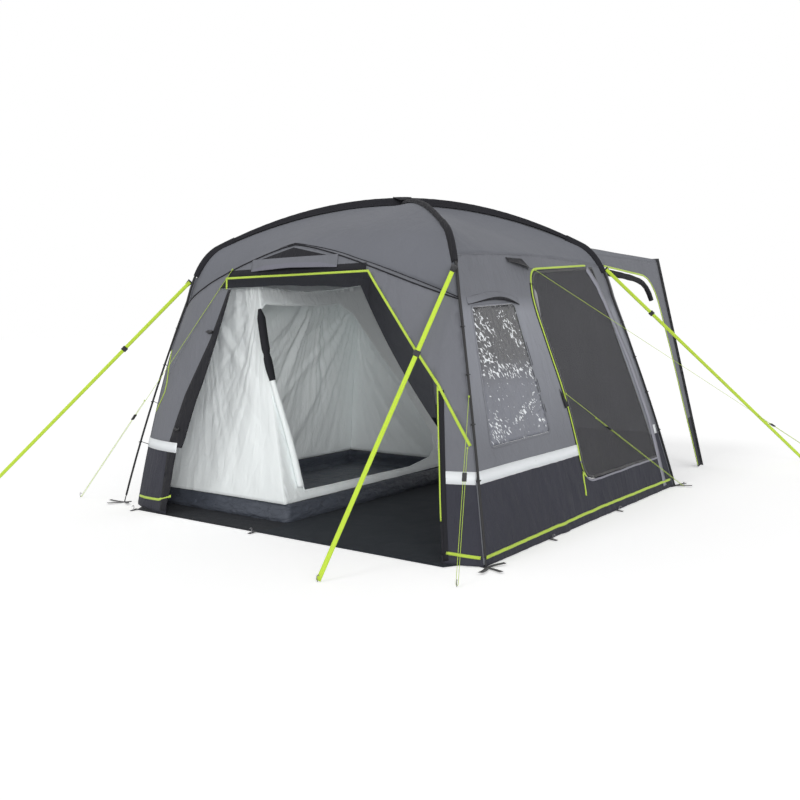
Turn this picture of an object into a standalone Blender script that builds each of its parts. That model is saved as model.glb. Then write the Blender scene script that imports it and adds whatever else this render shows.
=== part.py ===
"""Drive-away campervan awning: a dome on two crossing poles, with a tunnel to the van and a bedroom.

Metres, +Z up. The origin is on the ground under the crossing of the poles. +X is the side with the
window and the mesh door, -Y is the front door, and +Y is the van.
"""
import math

import bpy
import bmesh
from mathutils import Matrix, Quaternion, Vector

# Driving dimensions
HALF_WIDTH = 1.50
HALF_DEPTH = 1.33
APEX = 2.105
TUNNEL_END = 2.37
FRONT_HEM = 1.44
FABRIC = 0.003
SEAM_GAP = 0.004

# The pole's arc, as a distance from the middle along the diagonal and a height
ROOF_END = (1.28, 1.785)
SHOULDER_PULL = (1.435, 1.715)
SHOULDER_END = (1.515, 1.41)
LEG_PULL = (1.80, 0.72)
POLE_CROSSING_STEP = 0.029
POLE_RADIUS = 0.0055
FERRULE_RADIUS = 0.0070
FERRULE_SPACING = 0.55
ELBOW_RADIUS = 0.0085
LEG_RADIUS = 0.0070
FOOT_PIN_RADIUS = 0.0035
FOOT_PIN_TOP = 0.055
FOOT_PIN_SHOULDER = 0.007
FOOT_PIN_TIP = 0.0065
SLEEVE_END = 1.19
SLEEVE_WIDTH = 0.034
SLEEVE_HEIGHT = 0.026
SLEEVE_WALL = 0.0015
COVER_HALF = 0.085
COVER_DROP = 0.022
CLIP_HEIGHT = 0.44
CLIP_RADIUS = 0.0115
CLIP_WIRE_RADIUS = 0.0028
TAIL_WIDTH = 0.022
TAIL_THICKNESS = 0.002
TAILS = ((0.45, 0.17, 0.035), (-0.5, 0.15, 0.045))
FABRIC_STANDOFF = 0.020

# Roof and wall seams
BROW_POLE_HEIGHT = 1.38
BROW_PEAK_HEIGHT = 1.735
SIDE_SEAM_HEIGHT = 1.62
SIDE_SEAM_RISE = 0.04
HEM_HEIGHT = 0.004

# Front door
DOOR_TOP = 1.545
DOOR_TOP_HALF = 0.595
DOOR_KNEE = (1.12, 0.915)
DIAGONAL_END = (1.325, 0.675)
CORNER_DRAW = 0.13
CORNER_DRAW_TOP = 1.05
DOOR_FOOT_HALF = 1.27
DOOR_LEFT_TOP = (0.53, 1.475)
DOOR_LEFT_KNEE = (0.95, 0.475)
DOOR_LEFT_FOOT = 0.92

# Side window and side door, as a distance along Y and a height
WINDOW_CORNERS = ((-1.03, 0.575), (-0.345, 0.585), (-0.41, 1.35), (-0.895, 1.328))
SIDE_DOOR_LEFT = -0.05
SIDE_DOOR_LEFT_TOP = -0.15
SIDE_DOOR_SILL = 0.235
SIDE_DOOR_TOP = 1.575
SIDE_DOOR_TO_LEG = 0.13
CUT_GAP = 0.004
WINDOW_HOOD_ENDS = (-0.93, -0.35)
WINDOW_HOOD_HEIGHTS = (1.345, 1.385)
WINDOW_HOOD_ARCH = 0.028

# Vents
FRONT_VENT_HALF = 0.36
FRONT_VENT_HINGE_HEIGHT = 1.715
FRONT_VENT_FOOT = 1.605
SIDE_VENT_ENDS = (-0.385, -0.125)
SIDE_VENT_HEIGHTS = (1.565, 1.63)
SIDE_VENT_STANDOFF = 0.0035

# Tunnel
TUNNEL_TOP = 1.735
TUNNEL_TOP_HALF = 0.93
TUNNEL_FOOT_HALF = 1.34
TUNNEL_ROOF_START = 0.86
REAR_DOOR_HALF = 0.60
REAR_DOOR_TOP = 1.50
REAR_DOOR_SILL = 0.10
TUNNEL_ROOF_STANDOFF = 0.012
TUNNEL_DOOR_TOP = 1.628
TUNNEL_DOOR_EDGE = ((1.90, 1.582), (1.99, 1.560), (2.06, 1.517), (2.11, 1.455), (2.137, 1.38),
                    (2.188, 0.98), (2.20, 0.52), (2.245, -0.05))
TUNNEL_ROLL = ((1.06, 1.590), (1.20, 1.587), (1.34, 1.581), (1.48, 1.576), (1.61, 1.569), (1.74, 1.560),
               (1.86, 1.547), (1.95, 1.528), (2.02, 1.494), (2.065, 1.445), (2.09, 1.39))
TUNNEL_ROLL_RADIUS = 0.027
TUNNEL_ROLL_STANDOFF = 0.036
WEBBING_WIDTH = 0.038
WEBBING_THICKNESS = 0.003
GROUNDSHEET_THICKNESS = 0.0025
GROUNDSHEET_FRONT_LEFT = -1.352

# Bedroom, hung in the left half
INNER_LEFT = -1.335
INNER_RIGHT = -0.062
INNER_FRONT = -1.167
INNER_REAR = 0.950
INNER_TOP_LEFT = -1.00
INNER_TOP_RIGHT = -0.50
INNER_TOP_FRONT = -0.93
INNER_TOP_REAR = 0.72
INNER_TOP = 1.49
INNER_TUB = 0.11
INNER_DRAW = 0.035
INNER_DRAW_LEFT = 0.014
FOLD_DEPTH = 0.009
TUB_UNDERSIDE = 0.0032
BEDROOM_ROLL_HEIGHTS = (0.20, 1.28)
BEDROOM_ROLL_RADIUS = 0.024

# Lines
CORD = 0.0028
STRAP_WIDTH = 0.025
STRAP_THICKNESS = 0.0016
STRAND_SPACING = 0.011
PEG_LOOP = 0.012
RUNNER_LENGTH = 0.048
RUNNER_BORE_GAP = 0.0009
KNOT_REACH = 0.16
BUCKLE_LENGTH = 0.034
BUCKLE_THICKNESS = 0.007
ZIP_SLIDER_HEIGHT = 0.62

# Storm straps and guy ropes: start, peg, the part of the length where the buckle or runner sits and,
# for a strap, how far its flat side is turned about its length, in degrees
STRAPS = {
    "storm_strap_front_right": ((1.100, -1.001, 1.548), (0.950, -1.990, 0.0065), 0.30, -48.0),
    "storm_strap_front_left": ((-1.120, -0.990, 1.542), (-2.580, -1.800, 0.0095), 0.30, 66.0),
    "storm_strap_rear_right": ((1.100, 0.976, 1.600), (1.993, 3.050, 0.0100), 0.20, -58.0),
}
GUYS = {
    "guy_front_left": ((-0.530, -1.133, 1.600), (-1.920, -1.400, 0.004), 0.62),
    "guy_front_right": ((1.305, -1.169, 0.856), (1.550, -1.675, 0.004), 0.45),
    "guy_side_low": ((1.311, -0.085, 0.790), (1.555, 1.350, 0.004), 0.33),
    "guy_side_top": ((1.115, -0.115, 1.560), (2.410, 2.590, 0.004), 0.72),
}

parts = None
cutters = None


def start_collections():
    for old in list(bpy.data.objects):
        bpy.data.objects.remove(old, do_unlink=True)
    made = []
    for name in ("campervan_awning", "cutters"):
        collection = bpy.data.collections.new(name)
        bpy.context.scene.collection.children.link(collection)
        made.append(collection)
    return made


def material(name, colour, roughness=0.8, metallic=0.0):
    found = bpy.data.materials.get(name)
    if found:
        return found
    made = bpy.data.materials.new(name)
    made.use_nodes = True
    shader = made.node_tree.nodes["Principled BSDF"]
    shader.inputs["Base Color"].default_value = (*colour, 1.0)
    shader.inputs["Roughness"].default_value = roughness
    shader.inputs["Metallic"].default_value = metallic
    return made


def roof_fabric():
    return material("roof_fabric", (0.19, 0.20, 0.22))


def wall_fabric():
    return material("wall_fabric", (0.17, 0.17, 0.20))


def black_fabric():
    return material("black_fabric", (0.02, 0.02, 0.025))


def black_plastic():
    return material("black_plastic", (0.015, 0.015, 0.015), 0.45)


def glass_fibre():
    return material("glass_fibre", (0.02, 0.02, 0.02), 0.35)


def steel():
    return material("steel", (0.55, 0.56, 0.58), 0.35, 1.0)


def lime_webbing():
    return material("lime_webbing", (0.55, 0.80, 0.04), 0.7)


def inner_fabric():
    return material("inner_fabric", (0.60, 0.65, 0.64))


def tub_fabric():
    return material("tub_fabric", (0.05, 0.055, 0.065), 0.6)


def clear_vinyl():
    return material("clear_vinyl", (0.35, 0.36, 0.38), 0.15)


def mesh_fabric():
    return material("mesh_fabric", (0.07, 0.07, 0.075))


# Basic makers

def new_object(name, mesh, finish, collection=None):
    made = bpy.data.objects.new(name, mesh)
    (collection or parts).objects.link(made)
    made.data.materials.append(finish)
    return made


def solidify(obj, thickness, offset=-1.0):
    modifier = obj.modifiers.new("cloth_thickness", "SOLIDIFY")
    modifier.thickness = thickness
    modifier.offset = offset
    modifier.use_even_offset = True
    return obj


def cut(obj, cutter, operation="DIFFERENCE"):
    modifier = obj.modifiers.new("cut", "BOOLEAN")
    modifier.operation = operation
    modifier.object = cutter
    modifier.solver = "EXACT"
    cutter.hide_render = True
    cutter.display_type = "WIRE"
    return obj


def sheet(name, place, across, along, finish, thickness=FABRIC, offset=-1.0):
    """A cloth panel: a grid laid on the surface place(u, v), u and v from 0 to 1, then thickened."""
    mesh = bpy.data.meshes.new(name)
    work = bmesh.new()
    bmesh.ops.create_grid(work, x_segments=across, y_segments=along, size=0.5)
    for vert in work.verts:
        vert.co = Vector(place(vert.co.x + 0.5, vert.co.y + 0.5))
    work.to_mesh(mesh)
    work.free()
    made = new_object(name, mesh, finish)
    made.data.shade_smooth()
    return solidify(made, thickness, offset)


def flat_outline(name, points, thickness, matrix, finish, collection=None):
    """A flat plate from a 2D outline, thickness centred on the outline's plane."""
    curve = bpy.data.curves.new(name, "CURVE")
    curve.dimensions = "2D"
    curve.fill_mode = "BOTH"
    curve.extrude = thickness / 2
    spline = curve.splines.new("POLY")
    spline.points.add(len(points) - 1)
    for point, place in zip(spline.points, points):
        point.co = (place[0], place[1], 0.0, 1.0)
    spline.use_cyclic_u = True
    drawn = bpy.data.objects.new(name, curve)
    drawn.matrix_world = matrix
    (collection or parts).objects.link(drawn)
    return as_mesh(drawn, finish, collection)


def as_mesh(drawn, finish, collection=None):
    """The curve object as a closed mesh with its caps welded."""
    bpy.context.view_layer.update()
    evaluated = drawn.evaluated_get(bpy.context.evaluated_depsgraph_get())
    mesh = bpy.data.meshes.new_from_object(evaluated)
    work = bmesh.new()
    work.from_mesh(mesh)
    bmesh.ops.remove_doubles(work, verts=work.verts, dist=0.00002)
    bmesh.ops.recalc_face_normals(work, faces=work.faces)
    work.to_mesh(mesh)
    work.free()
    mesh.materials.clear()
    name = drawn.name
    place = drawn.matrix_world.copy()
    bpy.data.objects.remove(drawn, do_unlink=True)
    made = new_object(name, mesh, finish, collection)
    made.matrix_world = place
    return made


def tube(name, points, radius, finish, radii=None, resolution=2, collection=None):
    """A round bar along points, each with its own radius factor."""
    curve = bpy.data.curves.new(name, "CURVE")
    curve.dimensions = "3D"
    curve.bevel_depth = radius
    curve.bevel_resolution = resolution
    curve.use_fill_caps = True
    curve.render_resolution_u = 0
    spline = curve.splines.new("POLY")
    spline.points.add(len(points) - 1)
    for number, (point, place) in enumerate(zip(spline.points, points)):
        point.co = (*place, 1.0)
        point.radius = radii[number] if radii else 1.0
    made = bpy.data.objects.new(name, curve)
    (collection or parts).objects.link(made)
    curve.materials.append(finish)
    return made


def box(name, size, matrix, finish, collection=None, bevel=0.0):
    mesh = bpy.data.meshes.new(name)
    work = bmesh.new()
    bmesh.ops.create_cube(work, size=1.0)
    bmesh.ops.scale(work, vec=size, verts=work.verts)
    work.to_mesh(mesh)
    work.free()
    made = new_object(name, mesh, finish, collection)
    made.matrix_world = matrix
    if bevel:
        modifier = made.modifiers.new("rounded_edges", "BEVEL")
        modifier.width = bevel
        modifier.segments = 2
    return made


def bar_cutter(name, start, end, radius):
    """A round cutter from start to end."""
    start = Vector(start)
    end = Vector(end)
    mesh = bpy.data.meshes.new(name)
    work = bmesh.new()
    length = (end - start).length
    bmesh.ops.create_cone(work, cap_ends=True, segments=16, radius1=radius, radius2=radius, depth=length)
    work.to_mesh(mesh)
    work.free()
    made = new_object(name, mesh, black_plastic(), cutters)
    made.matrix_world = frame_along(start.lerp(end, 0.5), end - start)
    return made


def frame_along(origin, direction, up=(0.0, 0.0, 1.0)):
    """A matrix whose Z axis runs along direction, with its X axis square to up."""
    z_axis = Vector(direction).normalized()
    x_axis = Vector(up).cross(z_axis)
    if x_axis.length < 0.001:
        x_axis = Vector((1.0, 0.0, 0.0))
    x_axis.normalize()
    y_axis = z_axis.cross(x_axis)
    turn = Matrix((x_axis, y_axis, z_axis)).transposed().to_4x4()
    return Matrix.Translation(Vector(origin)) @ turn


def mix(low, high, part):
    return low + (high - low) * part


def curve_through(start, pull, end, part):
    """A point on the arc from start to end that leaves and arrives along the lines to pull."""
    rest = 1.0 - part
    return tuple(rest * rest * a + 2 * rest * part * b + part * part * c
                 for a, b, c in zip(start, pull, end))


# The pole's arc

HALF_DIAGONAL = math.hypot(HALF_WIDTH, HALF_DEPTH)
ALONG_X = HALF_WIDTH / HALF_DIAGONAL
ALONG_Y = HALF_DEPTH / HALF_DIAGONAL


def roof_arc(step_down, count=16, reach=ROOF_END[0]):
    """The arc over the roof, from the middle out, with the middle lowered by step_down."""
    top = APEX - step_down
    drop = (top - ROOF_END[1]) / ROOF_END[0] ** 2
    return [(reach * k / count, top - drop * (reach * k / count) ** 2) for k in range(count + 1)]


def leg_arc(shoulder_steps=8, leg_steps=9):
    """The bent elbow and the leg, from the roof arc's end to the ground."""
    foot = (HALF_DIAGONAL, 0.0)
    points = [curve_through(ROOF_END, SHOULDER_PULL, SHOULDER_END, k / shoulder_steps)
              for k in range(1, shoulder_steps + 1)]
    points += [curve_through(SHOULDER_END, LEG_PULL, foot, k / leg_steps) for k in range(1, leg_steps + 1)]
    return points


def inset(points, distance):
    """The arc moved inwards, square to itself."""
    moved = []
    for number, (s, z) in enumerate(points):
        before = points[max(number - 1, 0)]
        after = points[min(number + 1, len(points) - 1)]
        ds = after[0] - before[0]
        dz = after[1] - before[1]
        length = math.hypot(ds, dz)
        moved.append((s + distance * dz / length, z - distance * ds / length))
    return moved


CLOTH_ARC = inset(roof_arc(POLE_CROSSING_STEP, 24) + leg_arc(12, 16), FABRIC_STANDOFF)


def arc_reach(height):
    """How far out along the diagonal the cloth lies at a height."""
    for low, high in zip(CLOTH_ARC, CLOTH_ARC[1:]):
        if low[1] >= height >= high[1]:
            part = (low[1] - height) / (low[1] - high[1])
            return mix(low[0], high[0], part)
    last = CLOTH_ARC[-1]
    before = CLOTH_ARC[-2]
    slope = (last[0] - before[0]) / (last[1] - before[1])
    return last[0] + (height - last[1]) * slope


def arc_until(height):
    """The cloth's arc from the middle down to a height."""
    kept = [point for point in CLOTH_ARC if point[1] > height + 0.001]
    kept.append((arc_reach(height), height))
    return kept


def along_arc(points, part):
    """The point at a part of the arc's length."""
    lengths = [0.0]
    for low, high in zip(points, points[1:]):
        lengths.append(lengths[-1] + math.hypot(high[0] - low[0], high[1] - low[1]))
    wanted = part * lengths[-1]
    for number in range(len(points) - 1):
        if lengths[number + 1] >= wanted:
            span = lengths[number + 1] - lengths[number]
            inner = (wanted - lengths[number]) / span
            low = points[number]
            high = points[number + 1]
            return mix(low[0], high[0], inner), mix(low[1], high[1], inner)
    return points[-1]


# Roof

class RoofSector:
    """The roof cloth between two poles, facing one way, from near the crossing to its seam."""

    def __init__(self, facing, across_share, out_share, pole_height, peak_height, peak_out, curve, sag=0.012):
        self.facing = facing
        self.across_share = across_share
        self.out_share = out_share
        self.arc = arc_until(pole_height)
        self.peak_height = peak_height
        self.peak_out = peak_out
        self.curve = curve
        self.sag = sag
        self.start = 0.035

    def place(self, across, down):
        """across from -1 to 1 between the poles, down from 0 at the crossing to 1 at the seam."""
        down = mix(self.start, 1.0, down)
        s, z = along_arc(self.arc, down)
        middle = 1.0 - abs(across) ** self.curve
        top = CLOTH_ARC[0][1]
        middle_out = self.peak_out * down
        middle_z = top - (top - self.peak_height) * down ** 1.5 - self.sag * 4 * down * (1 - down)
        out = mix(self.out_share * s, middle_out, middle)
        height = mix(z, middle_z, middle)
        side = across * (self.across_share * s - SEAM_GAP)
        return turned(self.facing, side, out, height)


def turned(facing, side, out, height):
    if facing == "front":
        return side, -out, height
    if facing == "rear":
        return -side, out, height
    if facing == "right":
        return out, side, height
    return -out, -side, height


def corner_draw(height):
    """How far inside its pole the cloth's front left corner hangs."""
    return CORNER_DRAW * max(1.0 - height / CORNER_DRAW_TOP, 0.0) ** 1.1


def front_limit(side, height):
    """How far out the front wall reaches at a height: side is negative on the left."""
    draw = corner_draw(height) if side < 0 else 0.0
    return ALONG_X * arc_reach(height) - draw


def front_surface(side, height):
    """How far forward the front wall lies: flat in the middle, drawn in to the poles at its sides."""
    middle = FRONT_HEM - 0.20 * height
    ratio = min(abs(side) / front_limit(side, height), 1.0)
    return mix(middle, ALONG_Y * arc_reach(height), ratio ** 6)


def brow_height(side):
    """The seam between the roof and the front wall, a peaked arch between the poles."""
    reach = ALONG_X * arc_reach(BROW_POLE_HEIGHT)
    ratio = min(abs(side) / reach, 1.0)
    return BROW_PEAK_HEIGHT - (BROW_PEAK_HEIGHT - BROW_POLE_HEIGHT) * ratio ** 1.3


FRONT_ROOF = RoofSector("front", ALONG_X, ALONG_Y, BROW_POLE_HEIGHT, BROW_PEAK_HEIGHT,
                        front_surface(0.0, BROW_PEAK_HEIGHT), 1.3)
SIDE_PEAK = SIDE_SEAM_HEIGHT + SIDE_SEAM_RISE
RIGHT_ROOF = RoofSector("right", ALONG_Y, ALONG_X, SIDE_SEAM_HEIGHT, SIDE_PEAK, ALONG_X * arc_reach(SIDE_PEAK), 2.0)
LEFT_ROOF = RoofSector("left", ALONG_Y, ALONG_X, SIDE_SEAM_HEIGHT, SIDE_PEAK, ALONG_X * arc_reach(SIDE_PEAK), 2.0)
REAR_ROOF = RoofSector("rear", ALONG_X, ALONG_Y, SIDE_SEAM_HEIGHT, SIDE_PEAK, ALONG_Y * arc_reach(SIDE_PEAK), 2.0)


def side_seam(ratio):
    """The height of the seam over a side wall, at a ratio of -1 to 1 between its poles."""
    return SIDE_SEAM_HEIGHT + SIDE_SEAM_RISE * (1.0 - ratio * ratio)


def make_roof():
    sectors = (("roof_front", FRONT_ROOF), ("roof_right", RIGHT_ROOF),
               ("roof_left", LEFT_ROOF), ("roof_rear", REAR_ROOF))
    for name, sector in sectors:
        sheet(name, lambda u, v, kept=sector: kept.place(2 * u - 1, 1.0 - v), 12, 10, roof_fabric())


# Poles

def on_diagonal(points, x_sign, y_sign):
    return [(x_sign * ALONG_X * s, y_sign * ALONG_Y * s, z) for s, z in points]


def make_poles():
    cover_reach = SLEEVE_END + 0.035
    for name, step_down, y_sign in (("roof_pole_front_left_to_rear_right", 0.0, 1),
                                    ("roof_pole_front_right_to_rear_left", POLE_CROSSING_STEP, -1)):
        half = roof_arc(step_down, 16, cover_reach)
        left = on_diagonal(half[::-1], -1, -y_sign)
        right = on_diagonal(half[1:], 1, y_sign)
        points = left + right
        radii = ferrule_factors(points)
        tube(name, points, POLE_RADIUS, glass_fibre(), radii, 2)
    for name, x_sign, y_sign in CORNERS:
        make_leg(name, x_sign, y_sign)


CORNERS = (("front_left", -1, -1), ("front_right", 1, -1), ("rear_left", -1, 1), ("rear_right", 1, 1))


def ferrule_factors(points):
    """A thicker metal ferrule at each joint between two pole sections."""
    factors = []
    travelled = 0.0
    for number, point in enumerate(points):
        if number:
            travelled += (Vector(point) - Vector(points[number - 1])).length
        on_ferrule = (travelled % FERRULE_SPACING) < 0.10
        factors.append(FERRULE_RADIUS / POLE_RADIUS if on_ferrule else 1.0)
    return factors


def make_leg(name, x_sign, y_sign):
    """The bent steel elbow with the leg below it, ending in the foot's pin."""
    top = roof_arc(0.0, 30)
    start = [point for point in top if point[0] > SLEEVE_END + 0.04]
    whole = start + leg_arc(7, 9)
    points = on_diagonal(whole, x_sign, y_sign)
    elbow_end = len(start) + 7
    radii = [ELBOW_RADIUS / LEG_RADIUS if number <= elbow_end else 1.0 for number in range(len(points))]
    foot = Vector(points[-1])
    before = Vector(points[-2])
    rise = (before - foot).normalized()
    points[-1] = tuple(foot + rise * (FOOT_PIN_TOP / rise.z))
    points.append(tuple(foot + rise * ((FOOT_PIN_TOP - FOOT_PIN_SHOULDER) / rise.z)))
    points.append(tuple(foot + rise * (FOOT_PIN_TIP / rise.z)))
    radii += [FOOT_PIN_RADIUS / LEG_RADIUS] * 2
    tube("leg_pole_" + name, points, LEG_RADIUS, steel(), radii, 2)


def make_sleeves():
    for name, step_down, y_sign in (("sleeve_front_left_to_rear_right", 0.0, 1),
                                    ("sleeve_front_right_to_rear_left", POLE_CROSSING_STEP, -1)):
        half = roof_arc(step_down, 10, SLEEVE_END)
        path = on_diagonal(half[::-1], -1, -y_sign) + on_diagonal(half[1:], 1, y_sign)
        sides = 8

        def place(u, v, path=path, sides=sides):
            position = v * (len(path) - 1)
            number = min(int(position + 0.0001), len(path) - 2)
            point = Vector(path[number]).lerp(Vector(path[number + 1]), position - number)
            before = Vector(path[max(number - 1, 0)])
            after = Vector(path[min(number + 2, len(path) - 1)])
            run = (after - before).normalized()
            side = run.cross(Vector((0, 0, 1))).normalized()
            rise = side.cross(run)
            angle = -2 * math.pi * round(u * sides) / sides
            flat = side * (SLEEVE_WIDTH / 2 * math.cos(angle))
            return point + flat + rise * (SLEEVE_HEIGHT / 2 * math.sin(angle))

        made = sheet(name, place, sides, len(path) - 1, black_fabric(), SLEEVE_WALL)
        close_seam(made)


def close_seam(obj):
    """Joins a rolled grid's two long edges, so that it is a tube with open ends."""
    work = bmesh.new()
    work.from_mesh(obj.data)
    bmesh.ops.remove_doubles(work, verts=work.verts, dist=0.00002)
    work.to_mesh(obj.data)
    work.free()


def make_crossing_cover():
    """The domed patch over the crossing, which keeps rain out of the gap between the sleeves."""
    half = COVER_HALF

    def place(u, v):
        x = mix(-half, half, u)
        y = mix(-half, half, v)
        beside = (x * ALONG_Y - y * ALONG_X) / half
        return x, y, APEX + SLEEVE_HEIGHT / 2 + 0.002 - COVER_DROP * beside ** 2

    made = sheet("crossing_cover", place, 10, 10, black_fabric(), FABRIC, 1.0)
    outline = [(half * 0.97 * math.cos(2 * math.pi * k / 24), half * 0.97 * math.sin(2 * math.pi * k / 24))
               for k in range(24)]
    keep = flat_outline("cover_outline", outline, 0.4, Matrix.Translation((0, 0, APEX)), black_fabric(), cutters)
    cut(made, keep, "INTERSECT")


def make_foot_straps():
    """Two webbing tails that cross under the pole's pin."""
    for name, x_sign, y_sign in CORNERS:
        foot = Vector((x_sign * HALF_WIDTH, y_sign * HALF_DEPTH, 0.0015))
        out_angle = math.atan2(y_sign, x_sign)
        made = None
        for number, (turn, length, shift) in enumerate(TAILS):
            place = Matrix.Translation(foot) @ Matrix.Rotation(out_angle + turn, 4, "Z") \
                @ Matrix.Translation((shift, 0, 0))
            tail = box("foot_strap_" + name if number == 0 else "tail_" + name,
                       (length, TAIL_WIDTH, TAIL_THICKNESS), place, black_fabric(),
                       None if number == 0 else cutters)
            if made:
                cut(made, tail, "UNION")
            made = made or tail


def make_leg_clips():
    """A hook that hangs the wall's corner on the leg at the height of the reflective band."""
    arc = leg_arc(10, 40)
    s, z = min(arc, key=lambda point: abs(point[1] - CLIP_HEIGHT))
    for name, x_sign, y_sign in CORNERS:
        pole = Vector((x_sign * ALONG_X * s, y_sign * ALONG_Y * s, z))
        inwards = Vector((-x_sign * ALONG_X, -y_sign * ALONG_Y, 0.0))
        sideways = Vector((0, 0, 1)).cross(inwards)
        points = []
        for k in range(13):
            angle = math.radians(-140 + 280 * k / 12)
            points.append(pole - inwards * (CLIP_RADIUS * math.cos(angle))
                          + sideways * (CLIP_RADIUS * math.sin(angle)))
        tube("leg_clip_" + name, [tuple(point) for point in points], CLIP_WIRE_RADIUS, black_plastic())


# Walls

def make_front():
    ends = {side: find_height(lambda z, side=side: diagonal_side(z) - front_limit(side, z)) for side in (-1, 1)}

    def gable(u, v):
        x = mix(0.02 - diagonal_side(ends[-1]), diagonal_side(ends[1]) - 0.02, u)
        bottom = max(min(DOOR_TOP, diagonal_height(abs(x))), 0.0) + SEAM_GAP / 2
        edge_top = find_height(lambda height: front_limit(x, height) - SEAM_GAP - abs(x))
        top = min(brow_height(x) - SEAM_GAP, edge_top)
        z = mix(bottom, top, v)
        return x, -front_surface(x, z), z

    sheet("front_gable", gable, 32, 4, wall_fabric())

    def right(u, v):
        z = through_knee(v, 0.75, ends[1], DOOR_KNEE[1] - 0.012)
        inner = mix(DOOR_FOOT_HALF, DOOR_KNEE[0], z / DOOR_KNEE[1])
        outer = min(front_limit(1, z), diagonal_side(z)) - SEAM_GAP
        x = mix(inner, outer, u)
        return x, -front_surface(x, z), z

    sheet("front_wall_right", right, 4, 12, wall_fabric())

    def left(u, v):
        z = through_knee(v, 0.45, ends[-1], DOOR_LEFT_TOP[1])
        if z > DOOR_LEFT_KNEE[1]:
            down = (DOOR_LEFT_TOP[1] - z) / (DOOR_LEFT_TOP[1] - DOOR_LEFT_KNEE[1])
            edge = mix(DOOR_LEFT_TOP[0], DOOR_LEFT_KNEE[0], down)
        else:
            edge = mix(DOOR_LEFT_FOOT, DOOR_LEFT_KNEE[0], z / DOOR_LEFT_KNEE[1])
        outer = min(front_limit(-1, z), diagonal_side(z)) - SEAM_GAP
        x = -mix(outer, edge, u)
        return x, -front_surface(x, z), z

    sheet("front_wall_left", left, 4, 20, wall_fabric())


def find_height(excess):
    """The height at which excess, which falls as the height grows, passes zero."""
    low = 0.3
    high = CLOTH_ARC[0][1]
    for _ in range(40):
        middle = (low + high) / 2
        if excess(middle) > 0:
            low = middle
        else:
            high = middle
    return low


def through_knee(part, knee_part, knee, top):
    """A height between the hem and top, with a row of the grid at knee, where the diagonal meets the edge."""
    if part < knee_part:
        return mix(HEM_HEIGHT, knee, part / knee_part)
    return mix(knee, top, (part - knee_part) / (1.0 - knee_part))


def diagonal_height(side):
    """The height of the diagonal zip at a distance from the middle of the front."""
    slope = (DOOR_TOP - DIAGONAL_END[1]) / (DIAGONAL_END[0] - DOOR_TOP_HALF)
    return DOOR_TOP - slope * (side - DOOR_TOP_HALF)


def diagonal_side(height):
    slope = (DOOR_TOP - DIAGONAL_END[1]) / (DIAGONAL_END[0] - DOOR_TOP_HALF)
    return DOOR_TOP_HALF + (DOOR_TOP - height) / slope


def wall(name, facing, across_share, out_share, finish):
    def place(u, v):
        ratio = 2 * u - 1
        z = mix(HEM_HEIGHT, side_seam(ratio) - SEAM_GAP, v)
        reach = arc_reach(z)
        side = ratio * (across_share * reach - SEAM_GAP)
        draw = corner_draw(z) * u if facing == "left" else 0.0
        return turned(facing, side, out_share * reach - draw, z)

    return sheet(name, place, 8, 16, finish)


def side_cutter(name, corners, facing="right"):
    """A prism through a wall, from an outline of distances along the wall and heights."""
    if facing == "right":
        matrix = Matrix(((0, 0, 1, 1.2), (1, 0, 0, 0), (0, 1, 0, 0), (0, 0, 0, 1)))
    else:
        matrix = Matrix(((1, 0, 0, 0), (0, 0, 1, 1.1), (0, 1, 0, 0), (0, 0, 0, 1)))
    return flat_outline(name, corners, 0.9, matrix, wall_fabric(), cutters)


def leg_side(height):
    return ALONG_Y * arc_reach(height)


def side_door_edges(height):
    """The mesh door's two edges along Y at a height."""
    part = (height - SIDE_DOOR_SILL) / (SIDE_DOOR_TOP - SIDE_DOOR_SILL)
    low = mix(SIDE_DOOR_LEFT, SIDE_DOOR_LEFT_TOP, max(part, 0.0) ** 2)
    foot = leg_side(SIDE_DOOR_SILL) - SIDE_DOOR_TO_LEG
    top = leg_side(SIDE_DOOR_TOP) - SIDE_DOOR_TO_LEG
    return low, mix(foot, top, part)


def make_side_walls():
    right = wall("side_wall_right", "right", ALONG_Y, ALONG_X, wall_fabric())
    cut(right, side_cutter("window_cutter", WINDOW_CORNERS))
    outline = []
    steps = 8
    for k in range(steps + 1):
        z = mix(SIDE_DOOR_SILL - CUT_GAP, SIDE_DOOR_TOP + CUT_GAP, k / steps)
        outline.append((side_door_edges(z)[0] - CUT_GAP, z))
    for k in (1, 0):
        z = mix(SIDE_DOOR_SILL - CUT_GAP, SIDE_DOOR_TOP + CUT_GAP, k)
        outline.append((side_door_edges(z)[1] + CUT_GAP, z))
    cut(right, side_cutter("side_door_cutter", outline))
    wall("side_wall_left", "left", ALONG_Y, ALONG_X, wall_fabric())
    rear = wall("rear_wall", "rear", ALONG_X, ALONG_Y, wall_fabric())
    cut(rear, side_cutter("rear_door_cutter", (
        (-REAR_DOOR_HALF, REAR_DOOR_SILL), (REAR_DOOR_HALF, REAR_DOOR_SILL),
        (REAR_DOOR_HALF * 0.9, REAR_DOOR_TOP), (-REAR_DOOR_HALF * 0.9, REAR_DOOR_TOP)), "rear"))


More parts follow.
